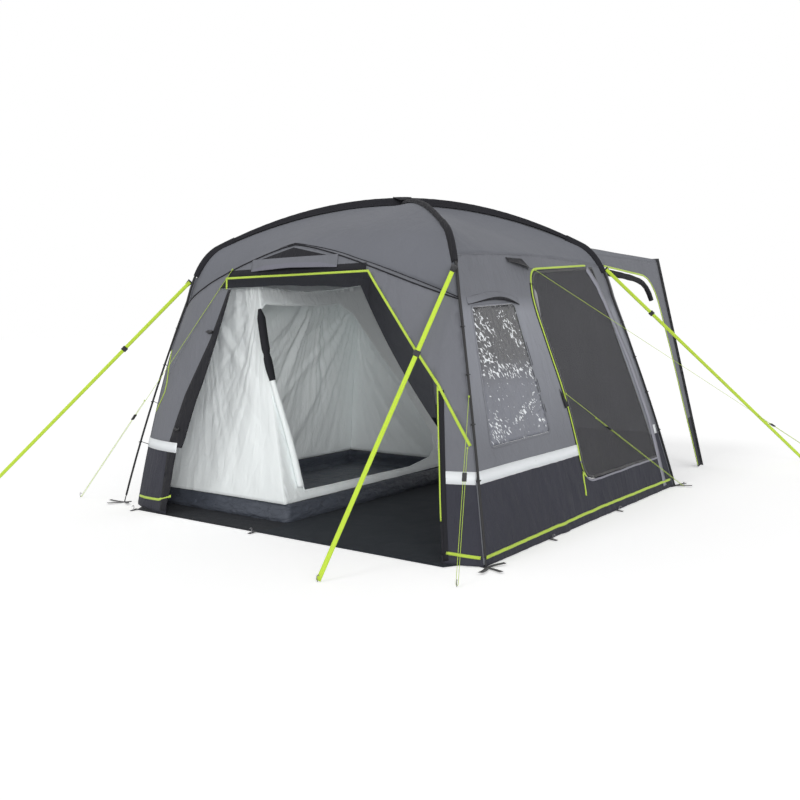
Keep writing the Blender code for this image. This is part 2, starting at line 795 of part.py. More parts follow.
def make_window():
    gap = 0.001

    def place(u, v):
        (y0, z0), (y1, z1), (y2, z2), (y3, z3) = WINDOW_CORNERS
        low_y = mix(y0 + gap, y1 - gap, u)
        low_z = mix(z0, z1, u) + gap
        high_y = mix(y3 + gap, y2 - gap, u)
        high_z = mix(z3, z2, u) - gap
        y = mix(low_y, high_y, v)
        z = mix(low_z, high_z, v)
        return ALONG_X * arc_reach(z) - 0.001, y, z

    sheet("side_window", place, 2, 12, clear_vinyl(), 0.0012)

    def hood(u, v):
        arch = WINDOW_HOOD_ARCH * math.sin(math.pi * u)
        y = mix(*WINDOW_HOOD_ENDS, u)
        z = mix(*WINDOW_HOOD_HEIGHTS, v) + arch
        bulge = 0.005 + arch * math.sin(math.pi * mix(0.15, 0.85, v))
        return ALONG_X * arc_reach(z) + bulge, y, z

    sheet("window_hood", hood, 12, 4, wall_fabric(), FABRIC)


def hang(obj, name, matrix):
    """Parents a moving piece to an empty on its joint's axis."""
    pivot = bpy.data.objects.new(name, None)
    parts.objects.link(pivot)
    pivot.matrix_world = matrix
    bpy.context.view_layer.update()
    obj.parent = pivot
    obj.matrix_parent_inverse = pivot.matrix_world.inverted()


def make_side_door():
    """The mesh door, hung on its edge beside the rear leg."""
    top = Vector((ALONG_X * arc_reach(SIDE_DOOR_TOP), side_door_edges(SIDE_DOOR_TOP)[1], SIDE_DOOR_TOP))
    foot = Vector((ALONG_X * arc_reach(SIDE_DOOR_SILL), side_door_edges(SIDE_DOOR_SILL)[1], SIDE_DOOR_SILL))

    def place(u, v):
        z = mix(SIDE_DOOR_SILL, SIDE_DOOR_TOP, v)
        low, high = side_door_edges(z)
        y = mix(low, high, u)
        return ALONG_X * arc_reach(z), y, z

    hang(sheet("side_door", place, 4, 12, mesh_fabric()), "side_door_hinge", frame_along(foot, top - foot))


def make_vents():
    """Each vent's hood is a stiffened flap hung on its upper edge."""
    half = FRONT_VENT_HALF

    def front(u, v):
        x = mix(-half, half, u)
        top = BROW_PEAK_HEIGHT - 0.022 - 0.26 * abs(x) ** 1.15
        bottom = FRONT_VENT_FOOT - 0.05 * abs(x)
        z = mix(bottom, top, v)
        lift = 0.0045 + 0.060 * (1.0 - v) * (1.0 - (abs(x) / half) ** 2)
        return x, -front_surface(x, z) - lift, z

    hinge = (0, -front_surface(0, FRONT_VENT_HINGE_HEIGHT), FRONT_VENT_HINGE_HEIGHT)
    hang(sheet("front_vent_hood", front, 12, 4, wall_fabric()), "front_vent_hinge", Matrix.Translation(hinge))

    def side(u, v):
        y = mix(*SIDE_VENT_ENDS, u)
        z = mix(*SIDE_VENT_HEIGHTS, v)
        lift = SIDE_VENT_STANDOFF + 0.035 * (1.0 - v) * math.sin(math.pi * mix(0.1, 0.9, u))
        return ALONG_X * arc_reach(z) + lift, y, z

    top = SIDE_VENT_HEIGHTS[1]
    hinge = (ALONG_X * arc_reach(top) + SIDE_VENT_STANDOFF, sum(SIDE_VENT_ENDS) / 2, top)
    hang(sheet("side_vent_hood", side, 8, 4, black_fabric()), "side_vent_hinge", Matrix.Translation(hinge))


# Tunnel

def tunnel_side_line(height):
    """Half the tunnel's width at its open end, at a height."""
    return mix(TUNNEL_FOOT_HALF, TUNNEL_TOP_HALF, height / TUNNEL_TOP)


def tunnel_side_ends(height):
    """The tunnel's right side at a height: at the rear leg and at the open end."""
    reach = arc_reach(height)
    near = Vector((ALONG_X * reach, ALONG_Y * reach + 0.008, height))
    far = Vector((tunnel_side_line(height), TUNNEL_END - 0.004, height))
    return near, far


def make_tunnel():
    def roof(u, v):
        ratio = 2 * u - 1
        start = rear_roof_height(ratio)
        x0 = ratio * (TUNNEL_TOP_HALF - 0.005)
        y = mix(TUNNEL_ROOF_START, TUNNEL_END - 0.004, v)
        sag = 0.02 * math.sin(math.pi * v) * (1 - ratio ** 2)
        z = mix(start + TUNNEL_ROOF_STANDOFF, TUNNEL_TOP, v) - sag
        return x0, y, z

    sheet("tunnel_roof", roof, 10, 6, roof_fabric())
    for name, sign in (("tunnel_side_right", 1), ("tunnel_side_left", -1)):
        def side(u, v, sign=sign):
            near, far = tunnel_side_ends(mix(HEM_HEIGHT, TUNNEL_TOP - 0.02, v))
            point = near.lerp(far, u if sign > 0 else 1 - u)
            return sign * point.x, point.y, point.z

        made = sheet(name, side, 5, 12, wall_fabric())
        if sign > 0:
            cut(made, tunnel_door_cutter())


def tunnel_door_cutter():
    """The tunnel's side door, wide open: a D down to the ground with its top corner rounded."""
    left_low = leg_side(0.0) + 0.07
    left_high = leg_side(TUNNEL_DOOR_TOP) + 0.10
    outline = [(left_low, -0.05), (left_high, TUNNEL_DOOR_TOP)]
    outline.extend(TUNNEL_DOOR_EDGE)
    return side_cutter("tunnel_door_cutter", outline)


def rear_roof_height(ratio):
    """The rear roof's height where the tunnel's roof starts, across from -1 to 1."""
    best = None
    for step in range(60, 101):
        point = REAR_ROOF.place(-ratio * 0.98, step / 100)
        miss = abs(point[1] - TUNNEL_ROOF_START)
        if best is None or miss < best[0]:
            best = (miss, point[2])
    return best[1]


def make_tunnel_trim():
    half = WEBBING_WIDTH / 2
    outer = [(-TUNNEL_FOOT_HALF - half, 0.002), (-TUNNEL_TOP_HALF - half, TUNNEL_TOP + 0.012),
             (TUNNEL_TOP_HALF + half, TUNNEL_TOP + 0.012), (TUNNEL_FOOT_HALF + half, 0.002)]
    inner = [(TUNNEL_FOOT_HALF - half, 0.002), (TUNNEL_TOP_HALF - half, TUNNEL_TOP + 0.012 - WEBBING_WIDTH),
             (-TUNNEL_TOP_HALF + half, TUNNEL_TOP + 0.012 - WEBBING_WIDTH), (-TUNNEL_FOOT_HALF + half, 0.002)]
    matrix = Matrix(((1, 0, 0, 0), (0, 0, 1, TUNNEL_END), (0, 1, 0, 0), (0, 0, 0, 1)))
    flat_outline("tunnel_end_webbing", outer + inner, WEBBING_THICKNESS, matrix, black_fabric())
    points = []
    radii = []
    for number, (y, z) in enumerate(TUNNEL_ROLL):
        part = number / (len(TUNNEL_ROLL) - 1)
        near, far = tunnel_side_ends(z)
        x = mix(near.x, far.x, (y - near.y) / (far.y - near.y)) - TUNNEL_ROLL_STANDOFF
        points.append((x, y, z))
        radii.append(0.95 + 0.05 * math.cos(7 * math.pi * part) - 0.25 * part)
    tube("tunnel_door_roll", points, TUNNEL_ROLL_RADIUS, black_fabric(), radii, 3)


# Ground

def make_groundsheet():
    side = HALF_WIDTH - 0.065
    outline = [(GROUNDSHEET_FRONT_LEFT, -1.23), (-1.21, -FRONT_HEM), (1.31, -FRONT_HEM), (side, -1.23),
               (side, HALF_DEPTH - 0.075), (-side, HALF_DEPTH - 0.075)]
    flat_outline("groundsheet", outline, GROUNDSHEET_THICKNESS,
                 Matrix.Translation((0, 0, GROUNDSHEET_THICKNESS / 2)), tub_fabric())


# Bedroom

def inner_corner(right, rear, part):
    """A bedroom corner seam from the ground to the roof: part from 0 to 1."""
    low_x = INNER_RIGHT if right else INNER_LEFT
    high_x = INNER_TOP_RIGHT if right else INNER_TOP_LEFT
    low_y = INNER_REAR if rear else INNER_FRONT
    high_y = INNER_TOP_REAR if rear else INNER_TOP_FRONT
    bow = math.sin(math.pi * part)
    x = mix(low_x, high_x, part) + (-INNER_DRAW if right else INNER_DRAW_LEFT) * bow
    y = mix(low_y, high_y, part) + (-INNER_DRAW if rear else INNER_DRAW) * bow
    return Vector((x, y, mix(0.0, INNER_TOP, part)))


def make_bedroom():
    low = (INNER_TUB + 0.001) / INNER_TOP
    high = 1.0 - 0.004 / INNER_TOP
    edge = 0.004

    def panel(first, second, inward, folds=0):
        """A wall between two corner seams, with soft folds that run up and gather at its top."""
        def place(u, v):
            part = mix(low, high, v)
            a = inner_corner(*first, part)
            b = inner_corner(*second, part)
            run = (b - a).normalized() * edge
            point = (a + run).lerp(b - run, u)
            slack = 0.020 * math.sin(math.pi * u) * math.sin(math.pi * part)
            fold = FOLD_DEPTH * math.sin(2 * math.pi * folds * u) * math.sin(math.pi * u) * mix(0.5, 1.0, v)
            return point + Vector(inward) * (slack + fold)
        return place

    sheet("bedroom_front", panel((False, False), (True, False), (0, 1, 0), 5), 24, 6, inner_fabric())
    sheet("bedroom_rear", panel((True, True), (False, True), (0, -1, 0), 4), 20, 6, inner_fabric())
    sheet("bedroom_left", panel((False, True), (False, False), (1, 0, 0), 7), 32, 6, inner_fabric())
    door_side = sheet("bedroom_door_side", panel((True, False), (True, True), (0, 0, 0)), 14, 14, inner_fabric())
    cut(door_side, bedroom_door_cutter())

    def top(u, v):
        x = mix(INNER_TOP_LEFT + 0.006, INNER_TOP_RIGHT - 0.006, u)
        y = mix(INNER_TOP_FRONT + 0.006, INNER_TOP_REAR - 0.006, v)
        return x, y, INNER_TOP + 0.03 * math.sin(math.pi * u) * math.sin(math.pi * v) + 0.002

    sheet("bedroom_roof", top, 6, 10, inner_fabric())
    make_tub()
    make_bedroom_roll()


def bedroom_door_cutter():
    """The bedroom's doorway: upright at the front, leaning at the rear, rounded at the bottom."""
    outline = [(-0.93, 0.17), (-0.955, 1.33), (-0.90, 1.375), (-0.10, 1.385), (0.02, 1.30),
               (0.36, 0.80), (0.55, 0.47), (0.60, 0.36), (0.57, 0.26), (0.48, 0.20), (0.20, 0.165)]
    matrix = Matrix(((0, 0, 1, -0.30), (1, 0, 0, 0), (0, 1, 0, 0), (0, 0, 0, 1)))
    return flat_outline("bedroom_door_cutter", outline[::-1], 0.62, matrix, inner_fabric(), cutters)


def make_tub():
    """The bedroom's floor with its raised edge, a tray open at the top."""
    mesh = bpy.data.meshes.new("bedroom_floor_tub")
    work = bmesh.new()
    bmesh.ops.create_cube(work, size=1.0)
    top = [face for face in work.faces if face.normal.z > 0.5]
    bmesh.ops.delete(work, geom=top, context="FACES")
    for vert in work.verts:
        part = INNER_TUB / INNER_TOP if vert.co.z > 0 else 0.0
        corner = inner_corner(vert.co.x > 0, vert.co.y > 0, part)
        height = INNER_TUB if vert.co.z > 0 else TUB_UNDERSIDE
        vert.co = Vector((corner.x, corner.y, height))
    work.to_mesh(mesh)
    work.free()
    solidify(new_object("bedroom_floor_tub", mesh, tub_fabric()), FABRIC)


def make_bedroom_roll():
    """The bedroom's door panel, rolled up and tied beside its front edge."""
    points = []
    radii = []
    for k in range(13):
        part = k / 12
        z = mix(*BEDROOM_ROLL_HEIGHTS, part)
        lean = (INNER_RIGHT - INNER_TOP_RIGHT) / INNER_TOP
        x = INNER_RIGHT - lean * z + 0.028 - INNER_DRAW * math.sin(math.pi * z / INNER_TOP)
        points.append((x, -0.985 + 0.015 * math.sin(2 * math.pi * part), z))
        radii.append(1.0 - 0.25 * part)
    tube("bedroom_door_roll", points, BEDROOM_ROLL_RADIUS, inner_fabric(), radii, 3)


# Lines

def straight(start, end, count):
    start = Vector(start)
    end = Vector(end)
    return [tuple(start.lerp(end, k / count)) for k in range(count + 1)]


def strap_side(start, end, turn=0.0):
    """The directions along a line, across it and square to both, turned about the line by degrees."""
    run = (Vector(end) - Vector(start)).normalized()
    side = run.cross(Vector((0, 0, 1))).normalized()
    side.rotate(Quaternion(run, math.radians(turn)))
    return run, side, side.cross(run)


def make_straps():
    for name, (start, end, buckle_part, turn) in STRAPS.items():
        run, side, face = strap_side(start, end, turn)
        path = straight(start, end, 10)

        def place(u, v, path=path, side=side):
            position = v * (len(path) - 1)
            number = min(int(position + 0.0001), len(path) - 2)
            point = Vector(path[number]).lerp(Vector(path[number + 1]), position - number)
            return point + side * mix(-STRAP_WIDTH / 2, STRAP_WIDTH / 2, u)

        sheet(name, place, 1, len(path) - 1, lime_webbing(), STRAP_THICKNESS, 0.0)
        middle = Vector(start).lerp(Vector(end), buckle_part)
        frame = Matrix((side, face, run)).transposed().to_4x4()
        buckle = box(name + "_buckle", (STRAP_WIDTH + 0.012, BUCKLE_THICKNESS, BUCKLE_LENGTH),
                     Matrix.Translation(middle) @ frame, black_plastic())
        slot = box(name + "_slot", (STRAP_WIDTH + 0.002, STRAP_THICKNESS + 0.0014, 2 * BUCKLE_LENGTH),
                   Matrix.Translation(middle) @ frame, black_plastic(), cutters)
        cut(buckle, slot)


def make_guys():
    for name, (start, end, runner_part) in GUYS.items():
        run, side, face = strap_side(start, end)
        start = Vector(start)
        end = Vector(end)
        runner = start.lerp(end, runner_part)
        knot = runner - run * KNOT_REACH
        half = side * (STRAND_SPACING / 2)
        loop = []
        for k in range(1, 8):
            angle = math.pi * k / 8
            loop.append(end - run * PEG_LOOP + half * math.cos(angle) + run * (0.010 * math.sin(angle)))
        down = straight(start + half, end + half - run * PEG_LOOP, 3)
        back = straight(end - half - run * PEG_LOOP, knot - half, 2)
        points = down + [tuple(point) for point in loop] + back
        tube(name, points, CORD / 2, lime_webbing(), None, 2)
        frame = Matrix((side, face, run)).transposed().to_4x4()
        body = box(name + "_runner", (STRAND_SPACING + 0.013, 0.0085, RUNNER_LENGTH),
                   Matrix.Translation(runner) @ frame, black_plastic(), None, 0.0015)
        for number, sign in enumerate((1, -1)):
            bore = bar_cutter(name + "_bore_%d" % number, runner + half * sign - run * RUNNER_LENGTH,
                              runner + half * sign + run * RUNNER_LENGTH, CORD / 2 + RUNNER_BORE_GAP)
            cut(body, bore)


def make_zip_slider():
    """The slider on the front door's upright zip, with its pull."""
    z = ZIP_SLIDER_HEIGHT
    x = mix(DOOR_FOOT_HALF, DOOR_KNEE[0], z / DOOR_KNEE[1]) - 0.006
    y = -front_surface(x, z)
    foot = Vector((DOOR_FOOT_HALF, -front_surface(DOOR_FOOT_HALF, 0.0), 0.0))
    knee = Vector((DOOR_KNEE[0], -front_surface(DOOR_KNEE[0], DOOR_KNEE[1]), DOOR_KNEE[1]))
    run = (knee - foot).normalized()
    side = Vector((1, 0, 0))
    face = side.cross(run).normalized()
    side = run.cross(face)
    frame = Matrix((side, face, run)).transposed().to_4x4()
    place = Matrix.Translation((x - 0.001, y + 0.0015, z)) @ frame
    made = box("front_door_zip_slider", (0.009, 0.011, 0.016), place, black_plastic(), None, 0.0)
    pull = box("zip_pull", (0.006, 0.002, 0.042), place @ Matrix.Translation((0, 0.0062, -0.022)),
               black_plastic(), cutters)
    cut(made, pull, "UNION")


parts, cutters = start_collections()
make_roof()
make_poles()
make_sleeves()
make_crossing_cover()
make_foot_straps()
make_leg_clips()
make_front()
make_side_walls()
make_window()
make_side_door()
make_vents()
make_tunnel()
make_tunnel_trim()
make_groundsheet()
make_bedroom()
make_straps()
make_guys()
make_zip_slider()
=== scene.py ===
import math

import bmesh
import bpy
import numpy as np
from mathutils import Matrix, Quaternion, Vector, geometry, noise


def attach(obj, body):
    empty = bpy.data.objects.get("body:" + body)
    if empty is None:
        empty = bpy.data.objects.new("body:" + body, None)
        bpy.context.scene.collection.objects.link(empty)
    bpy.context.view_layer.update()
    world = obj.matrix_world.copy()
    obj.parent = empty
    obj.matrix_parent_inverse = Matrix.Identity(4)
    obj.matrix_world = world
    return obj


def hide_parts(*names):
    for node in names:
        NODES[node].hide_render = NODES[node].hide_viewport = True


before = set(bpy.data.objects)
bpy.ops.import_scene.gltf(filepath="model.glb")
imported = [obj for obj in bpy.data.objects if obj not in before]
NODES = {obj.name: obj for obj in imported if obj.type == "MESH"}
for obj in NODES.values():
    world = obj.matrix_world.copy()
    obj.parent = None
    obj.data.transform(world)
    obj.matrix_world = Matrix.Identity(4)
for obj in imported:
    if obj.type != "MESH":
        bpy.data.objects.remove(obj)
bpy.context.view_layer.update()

# Looks of the campervan awning. Metres, +Z up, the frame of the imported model.
# +X is the side with the window and the mesh door, -Y is the front door, +Y is the van.

BODY = "awning"

# Driving dimensions, the same as the model's
HALF_WIDTH = 1.50
HALF_DEPTH = 1.33
APEX = 2.105
TUNNEL_END = 2.37
FRONT_HEM = 1.44
ROOF_END = (1.28, 1.785)
SHOULDER_PULL = (1.435, 1.715)
SHOULDER_END = (1.515, 1.41)
LEG_PULL = (1.80, 0.72)
POLE_CROSSING_STEP = 0.029
SLEEVE_END = 1.19
BROW_POLE_HEIGHT = 1.38
BROW_PEAK_HEIGHT = 1.735
SIDE_SEAM_HEIGHT = 1.62
SIDE_SEAM_RISE = 0.04
HEM_HEIGHT = 0.004
DOOR_TOP = 1.545
DOOR_TOP_HALF = 0.595
DOOR_KNEE = (1.12, 0.915)
DIAGONAL_END = (1.325, 0.675)
CORNER_DRAW = 0.13
CORNER_DRAW_TOP = 1.05
DOOR_FOOT_HALF = 1.27
DOOR_LEFT_TOP = (0.53, 1.475)
DOOR_LEFT_KNEE = (0.95, 0.475)
DOOR_LEFT_FOOT = 0.92
WINDOW_CORNERS = ((-1.03, 0.575), (-0.345, 0.585), (-0.41, 1.35), (-0.895, 1.328))
TUNNEL_TOP = 1.735
TUNNEL_TOP_HALF = 0.93
TUNNEL_FOOT_HALF = 1.34
TUNNEL_ROOF_START = 0.86
TUNNEL_DOOR_TOP = 1.628
TUNNEL_DOOR_EDGE = ((1.90, 1.582), (1.99, 1.560), (2.06, 1.517), (2.11, 1.455), (2.137, 1.38),
                    (2.188, 0.98), (2.20, 0.52), (2.245, -0.05))
TUNNEL_ROLL = ((1.06, 1.590), (1.20, 1.587), (1.34, 1.581), (1.48, 1.576), (1.61, 1.569), (1.74, 1.560),
               (1.86, 1.547), (1.95, 1.528), (2.02, 1.494), (2.065, 1.445), (2.09, 1.39))
TUNNEL_ROLL_RADIUS = 0.027
TUNNEL_ROLL_STANDOFF = 0.036
GROUNDSHEET_FRONT_LEFT = -1.352
INNER_TOP = 1.49
INNER_LEFT = -1.335
INNER_RIGHT = -0.062
INNER_FRONT = -1.167
INNER_REAR = 0.950
INNER_TOP_LEFT = -1.00
INNER_TOP_RIGHT = -0.50
INNER_TOP_FRONT = -0.93
INNER_TOP_REAR = 0.72
INNER_DRAW = 0.035
INNER_DRAW_LEFT = 0.014
CLIP_HEIGHT = 0.44
CLIP_RADIUS = 0.0115
CLIP_WIRE_RADIUS = 0.0028
WINDOW_HOOD_ENDS = (-0.93, -0.35)
WINDOW_HOOD_HEIGHTS = (1.345, 1.385)
FRONT_VENT_HALF = 0.36
SIDE_VENT_ENDS = (-0.385, -0.125)
REAR_DOOR_HALF = 0.60
REAR_DOOR_SILL = 0.10
REAR_DOOR_TOP = 1.50

# Dimensions of this scene alone, whose cloth lies closer to the poles and whose bedroom has a drawn peak
FABRIC_STANDOFF = 0.014
TUNNEL_WALL_END = TUNNEL_END - 0.004
DIAGONAL_FOOT = (1.330, 0.600)
ROLL_TAPER = 0.25
INNER_PEAK = (-0.75, 0.43, 0.045)
INNER_MIDDLE = (-0.70, -0.11)

# Finish sizes
CLOTH = 0.0012
THIN_CLOTH = 0.0008
BAND_LOW = 0.405
BAND_HIGH = 0.470
BAND_MIDDLE = (BAND_LOW + BAND_HIGH) / 2
BAND_WIDTH = 0.065
BAND_LINE = ((-1.6, BAND_LOW), (1.6, BAND_LOW))
TUNNEL_BAND_LINE = ((1.0, BAND_LOW), (2.5, BAND_LOW))
BROW_SEAM = 0.0042
ROOF_SEAM = 0.0022
SIDE_SAG = 0.012
RAMP_HEIGHT = 2.0


def mix(low, high, part):
    return low + (high - low) * part


def placed(name, data):
    made = bpy.data.objects.new(name, data)
    bpy.context.scene.collection.objects.link(made)
    return made


class Nodes:
    """A node tree whose sockets are set by name, or joined where the value is another node's output."""

    def __init__(self, tree):
        self.tree = tree

    def put(self, socket, value):
        if isinstance(value, bpy.types.NodeSocket):
            self.tree.links.new(value, socket)
        else:
            socket.default_value = value

    def fill(self, node, **values):
        for name, value in values.items():
            self.put(node.inputs[name.replace("_", " ")], value)
        return node

    def node(self, kind, **values):
        return self.fill(self.tree.nodes.new("ShaderNode" + kind), **values)

    def math(self, operation, first, second):
        made = self.node("Math")
        made.operation = operation
        self.put(made.inputs[0], first)
        self.put(made.inputs[1], second)
        return made.outputs[0]

    def between(self, factor, low, high):
        return self.node("MapRange", To_Min=low, To_Max=high, Value=factor).outputs[0]


class Finish(Nodes):
    """A material, with the places that its patterns follow: place on the object, cut on the flat cloth."""

    def __init__(self, name):
        self.material = bpy.data.materials.new(name)
        self.material.use_nodes = True
        super().__init__(self.material.node_tree)
        self.shader = self.tree.nodes["Principled BSDF"]
        places = self.node("TexCoord")
        self.place = places.outputs["Object"]
        self.cut = places.outputs["UV"]

    def look(self, **values):
        self.fill(self.shader, **values)

    def wave(self, direction, period):
        """Bands that repeat every period metres along one axis of the flat cloth."""
        made = self.node("TexWave", Scale=0.314 / period, Distortion=0.0, Vector=self.cut)
        made.wave_type = "BANDS"
        made.bands_direction = direction
        return made.outputs["Fac"]

    def clouds(self, size, detail=3.0, stretch=(1.0, 1.0, 1.0), distortion=0.0, place=None):
        """Soft noise whose blobs are about size metres across."""
        stretched = self.node("Mapping", Scale=stretch, Vector=place or self.place)
        return self.node("TexNoise", Scale=1.0 / size, Detail=detail, Distortion=distortion,
                         Vector=stretched.outputs[0]).outputs["Fac"]

    def blend(self, first, share, second, other_share):
        """Two values added by their shares."""
        return self.math("ADD", self.math("MULTIPLY", first, share),
                         self.math("MULTIPLY", second, other_share))

    def by_height(self, stops):
        """A value that follows stops of height and share up the awning."""
        split = self.node("SeparateXYZ", Vector=self.place)
        ramp = self.node("ValToRGB", Fac=self.math("MULTIPLY", split.outputs["Z"], 1.0 / RAMP_HEIGHT))
        while len(ramp.color_ramp.elements) < len(stops):
            ramp.color_ramp.elements.new(0.5)
        for element, (height, share) in zip(ramp.color_ramp.elements, stops):
            element.position = height / RAMP_HEIGHT
            element.color = (share, share, share, 1.0)
        return ramp.outputs["Color"]

    def slanted(self, middle, turn, size):
        """The place seen from a middle on the side wall, turned by degrees and measured in sizes."""
        mapping = self.node("Mapping", Vector=self.place)
        mapping.vector_type = "TEXTURE"
        self.fill(mapping, Location=(0.0, *middle), Rotation=(math.radians(turn), 0.0, 0.0),
                  Scale=(1000.0, *size))
        return mapping.outputs[0]

    def tinted(self, factor, low, high):
        """A colour between low and high, or past high where the factor is above 1."""
        made = self.node("Mix", Factor=factor)
        made.data_type = "RGBA"
        made.clamp_factor = False
        sockets = [socket for socket in made.inputs if socket.type == "RGBA"]
        for socket, colour in zip(sockets, (low, high)):
            self.put(socket, (*colour, 1.0) if isinstance(colour, tuple) else colour)
        return next(socket for socket in made.outputs if socket.type == "RGBA")

    def bumped(self, *heights):
        """Chains bumps, each given as a height, a strength and a depth in metres."""
        normal = None
        for height, strength, depth in heights:
            bump = self.node("Bump", Strength=strength, Distance=depth, Height=height)
            if normal:
                self.fill(bump, Normal=normal)
            normal = bump.outputs[0]
        self.look(Normal=normal)


def scaled(colour, factor):
    return tuple(min(value * factor, 1.0) for value in colour)


def fabric(name, colour, mottle=0.10, roughness=0.80, sheen=0.03, crease=0.7, crease_size=0.07,
           crease_depth=0.020, weave=0.0016, weave_depth=0.0004, alpha=1.0, coat=0.0, stretch=(1.0, 1.0, 0.3),
           paler=None, shine=0.2, glow=0.0):
    """Woven cloth: threads both ways, soft creases that run up it, and uneven colour."""
    made = Finish(name)
    threads = made.math("MAXIMUM", made.wave("X", weave), made.wave("Y", weave))
    creases = made.clouds(crease_size, 4.0, stretch, 0.8)
    shade = made.blend(made.clouds(0.35, 5.0), 0.7, threads, 0.3)
    # paler adds a share to the tone by height; the right side wall uses it for a painted highlight
    if paler:
        shade = made.math("ADD", shade, made.by_height(paler))
    # glow is emission in the cloth's own colour: painted light
    made.look(Base_Color=made.tinted(shade, scaled(colour, 1 - mottle), scaled(colour, 1 + mottle)),
              Roughness=made.between(creases, roughness - 0.10, min(roughness + 0.10, 1.0)),
              Specular_IOR_Level=shine, Sheen_Weight=sheen, Sheen_Roughness=0.5, Coat_Weight=coat,
              Coat_Roughness=0.35, Alpha=alpha, Emission_Color=(*colour, 1.0), Emission_Strength=glow)
    made.bumped((creases, crease, crease_depth), (threads, 0.35, weave_depth))
    return made.material


def webbing(name, colour, rib=0.0022):
    """Ribbed woven tape, with the ribs across it."""
    made = Finish(name)
    ribs = made.wave("Y", rib)
    wear = made.clouds(0.05, 4.0)
    shade = made.blend(wear, 0.6, ribs, 0.4)
    made.look(Base_Color=made.tinted(shade, scaled(colour, 0.82), scaled(colour, 1.1)), Sheen_Weight=0.2,
              Roughness=made.between(wear, 0.55, 0.80))
    made.bumped((ribs, 0.5, 0.0006))
    return made.material


def moulded(name, colour, roughness=0.42, grain=0.0012, metallic=0.0):
    """Moulded plastic or painted metal with a fine grain and rubbed patches."""
    made = Finish(name)
    rubbed = made.clouds(0.06, 5.0)
    made.look(Base_Color=made.tinted(rubbed, scaled(colour, 0.8), scaled(colour, 1.35)), Metallic=metallic,
              Roughness=made.between(rubbed, roughness - 0.08, roughness + 0.12))
    made.bumped((made.clouds(grain, 2.0), 0.3, 0.0002))
    return made.material


def clear_vinyl():
    """Window film: grey and wavy, with slanting groups of painted glints, white spots that stand in for light
    caught by the film.
    """
    made = Finish("clear_vinyl")
    haze = made.clouds(0.2)
    glint_density = 0.0
    for y, z, long, wide, turn in PAINTED_GLINT_GROUPS:
        spot = made.node("TexGradient", Vector=made.slanted((y, z), turn, (long, wide)))
        spot.gradient_type = "SPHERICAL"
        glint_density = made.math("MAXIMUM", spot.outputs["Fac"], glint_density)
    glint_density = made.math("MINIMUM", glint_density, 0.5)
    glint_noise = made.clouds(PAINTED_GLINT_SIZE, 1.0, distortion=0.6, place=made.slanted((0.0, 0.0), -42, (1.7, 0.9)))
    raised = made.math("ADD", glint_noise, made.math("MULTIPLY", glint_density, 0.30))
    # Painted glints: where the noise runs high the film turns near white and opaque, a painted reflection of
    # light
    painted_glint = made.node("MapRange", From_Min=0.70, From_Max=0.745, Value=raised).outputs[0]
    paler = made.by_height(((0.6, 0.9), (0.88, 0.8), (1.04, 0.05), (1.3, 0.0)))
    grey = made.tinted(made.math("ADD", paler, made.math("MULTIPLY", haze, 0.3)),
                       (0.062, 0.062, 0.064), (0.185, 0.195, 0.235))
    made.look(Base_Color=made.tinted(painted_glint, grey, (0.86, 0.89, 0.92)), Alpha=made.between(painted_glint, 0.86, 1.0),
              Roughness=made.between(haze, 0.14, 0.26))
    made.bumped((made.clouds(0.045, 3.0, (1.0, 1.0, 0.6), 1.6), 0.7, 0.012))
    return made.material


def reflective_tape():
    """Silver tape with a fine honeycomb of glass beads."""
    made = Finish("reflective_band")
    cells = made.node("TexVoronoi", Scale=350.0, Vector=made.cut)
    scuffs = made.clouds(0.15, 5.0)
    made.look(Base_Color=made.tinted(scuffs, (0.78, 0.81, 0.84), (0.88, 0.91, 0.93)),
              Roughness=made.between(scuffs, 0.35, 0.55))
    made.bumped((cells.outputs["Distance"], 0.4, 0.0004))
    return made.material


# Groups of painted glints on the window: the group's y and z, its length and width, and its slant in degrees
PAINTED_GLINT_GROUPS = (
    (-0.81, 1.24, 0.20, 0.045, -36), (-0.87, 1.17, 0.20, 0.060, -40), (-0.87, 1.06, 0.17, 0.070, -25),
    (-0.53, 1.20, 0.24, 0.060, -50), (-0.70, 0.965, 0.34, 0.060, 0), (-0.80, 0.985, 0.10, 0.030, -75),
    (-0.40, 0.93, 0.15, 0.035, -75), (-0.92, 0.66, 0.17, 0.095, 0), (-0.62, 0.72, 0.20, 0.035, 24),
    (-0.43, 0.67, 0.12, 0.030, -30), (-0.45, 0.78, 0.10, 0.030, 60),
)
PAINTED_GLINT_SIZE = 0.017
# How strongly the roof and wall cloth glow in their own colour: painted light that stands in for light coming
# through the cloth
CLOTH_PAINTED_GLOW = 0.12

ROOF = fabric("roof_fabric", (0.146, 0.152, 0.172), crease=0.5, crease_size=0.12, glow=CLOTH_PAINTED_GLOW)
WALL = fabric("wall_fabric", (0.152, 0.157, 0.176), mottle=0.16, glow=CLOTH_PAINTED_GLOW)
# The right side's wall cloth: a lighter copy of the wall cloth with a painted highlight, paler up the wall to
# 1.3 m and falling off sharply above
WALL_SIDE_PAINTED_HIGHLIGHT = fabric("side_wall_fabric_painted_highlight", (0.178, 0.184, 0.206), mottle=0.16,
                   paler=((0.55, 0.3), (0.85, 1.2), (1.30, 1.9), (1.40, 0.1), (1.5, 0.0)))
SKIRT = fabric("skirt_fabric", (0.042, 0.043, 0.056), mottle=0.25, crease=0.9)
DARK = fabric("black_fabric", (0.018, 0.018, 0.022), crease_size=0.05)
PALE = fabric("pale_fabric", (0.29, 0.29, 0.335))
VENT_STRIP = fabric("vent_strip_fabric", (0.185, 0.185, 0.22))
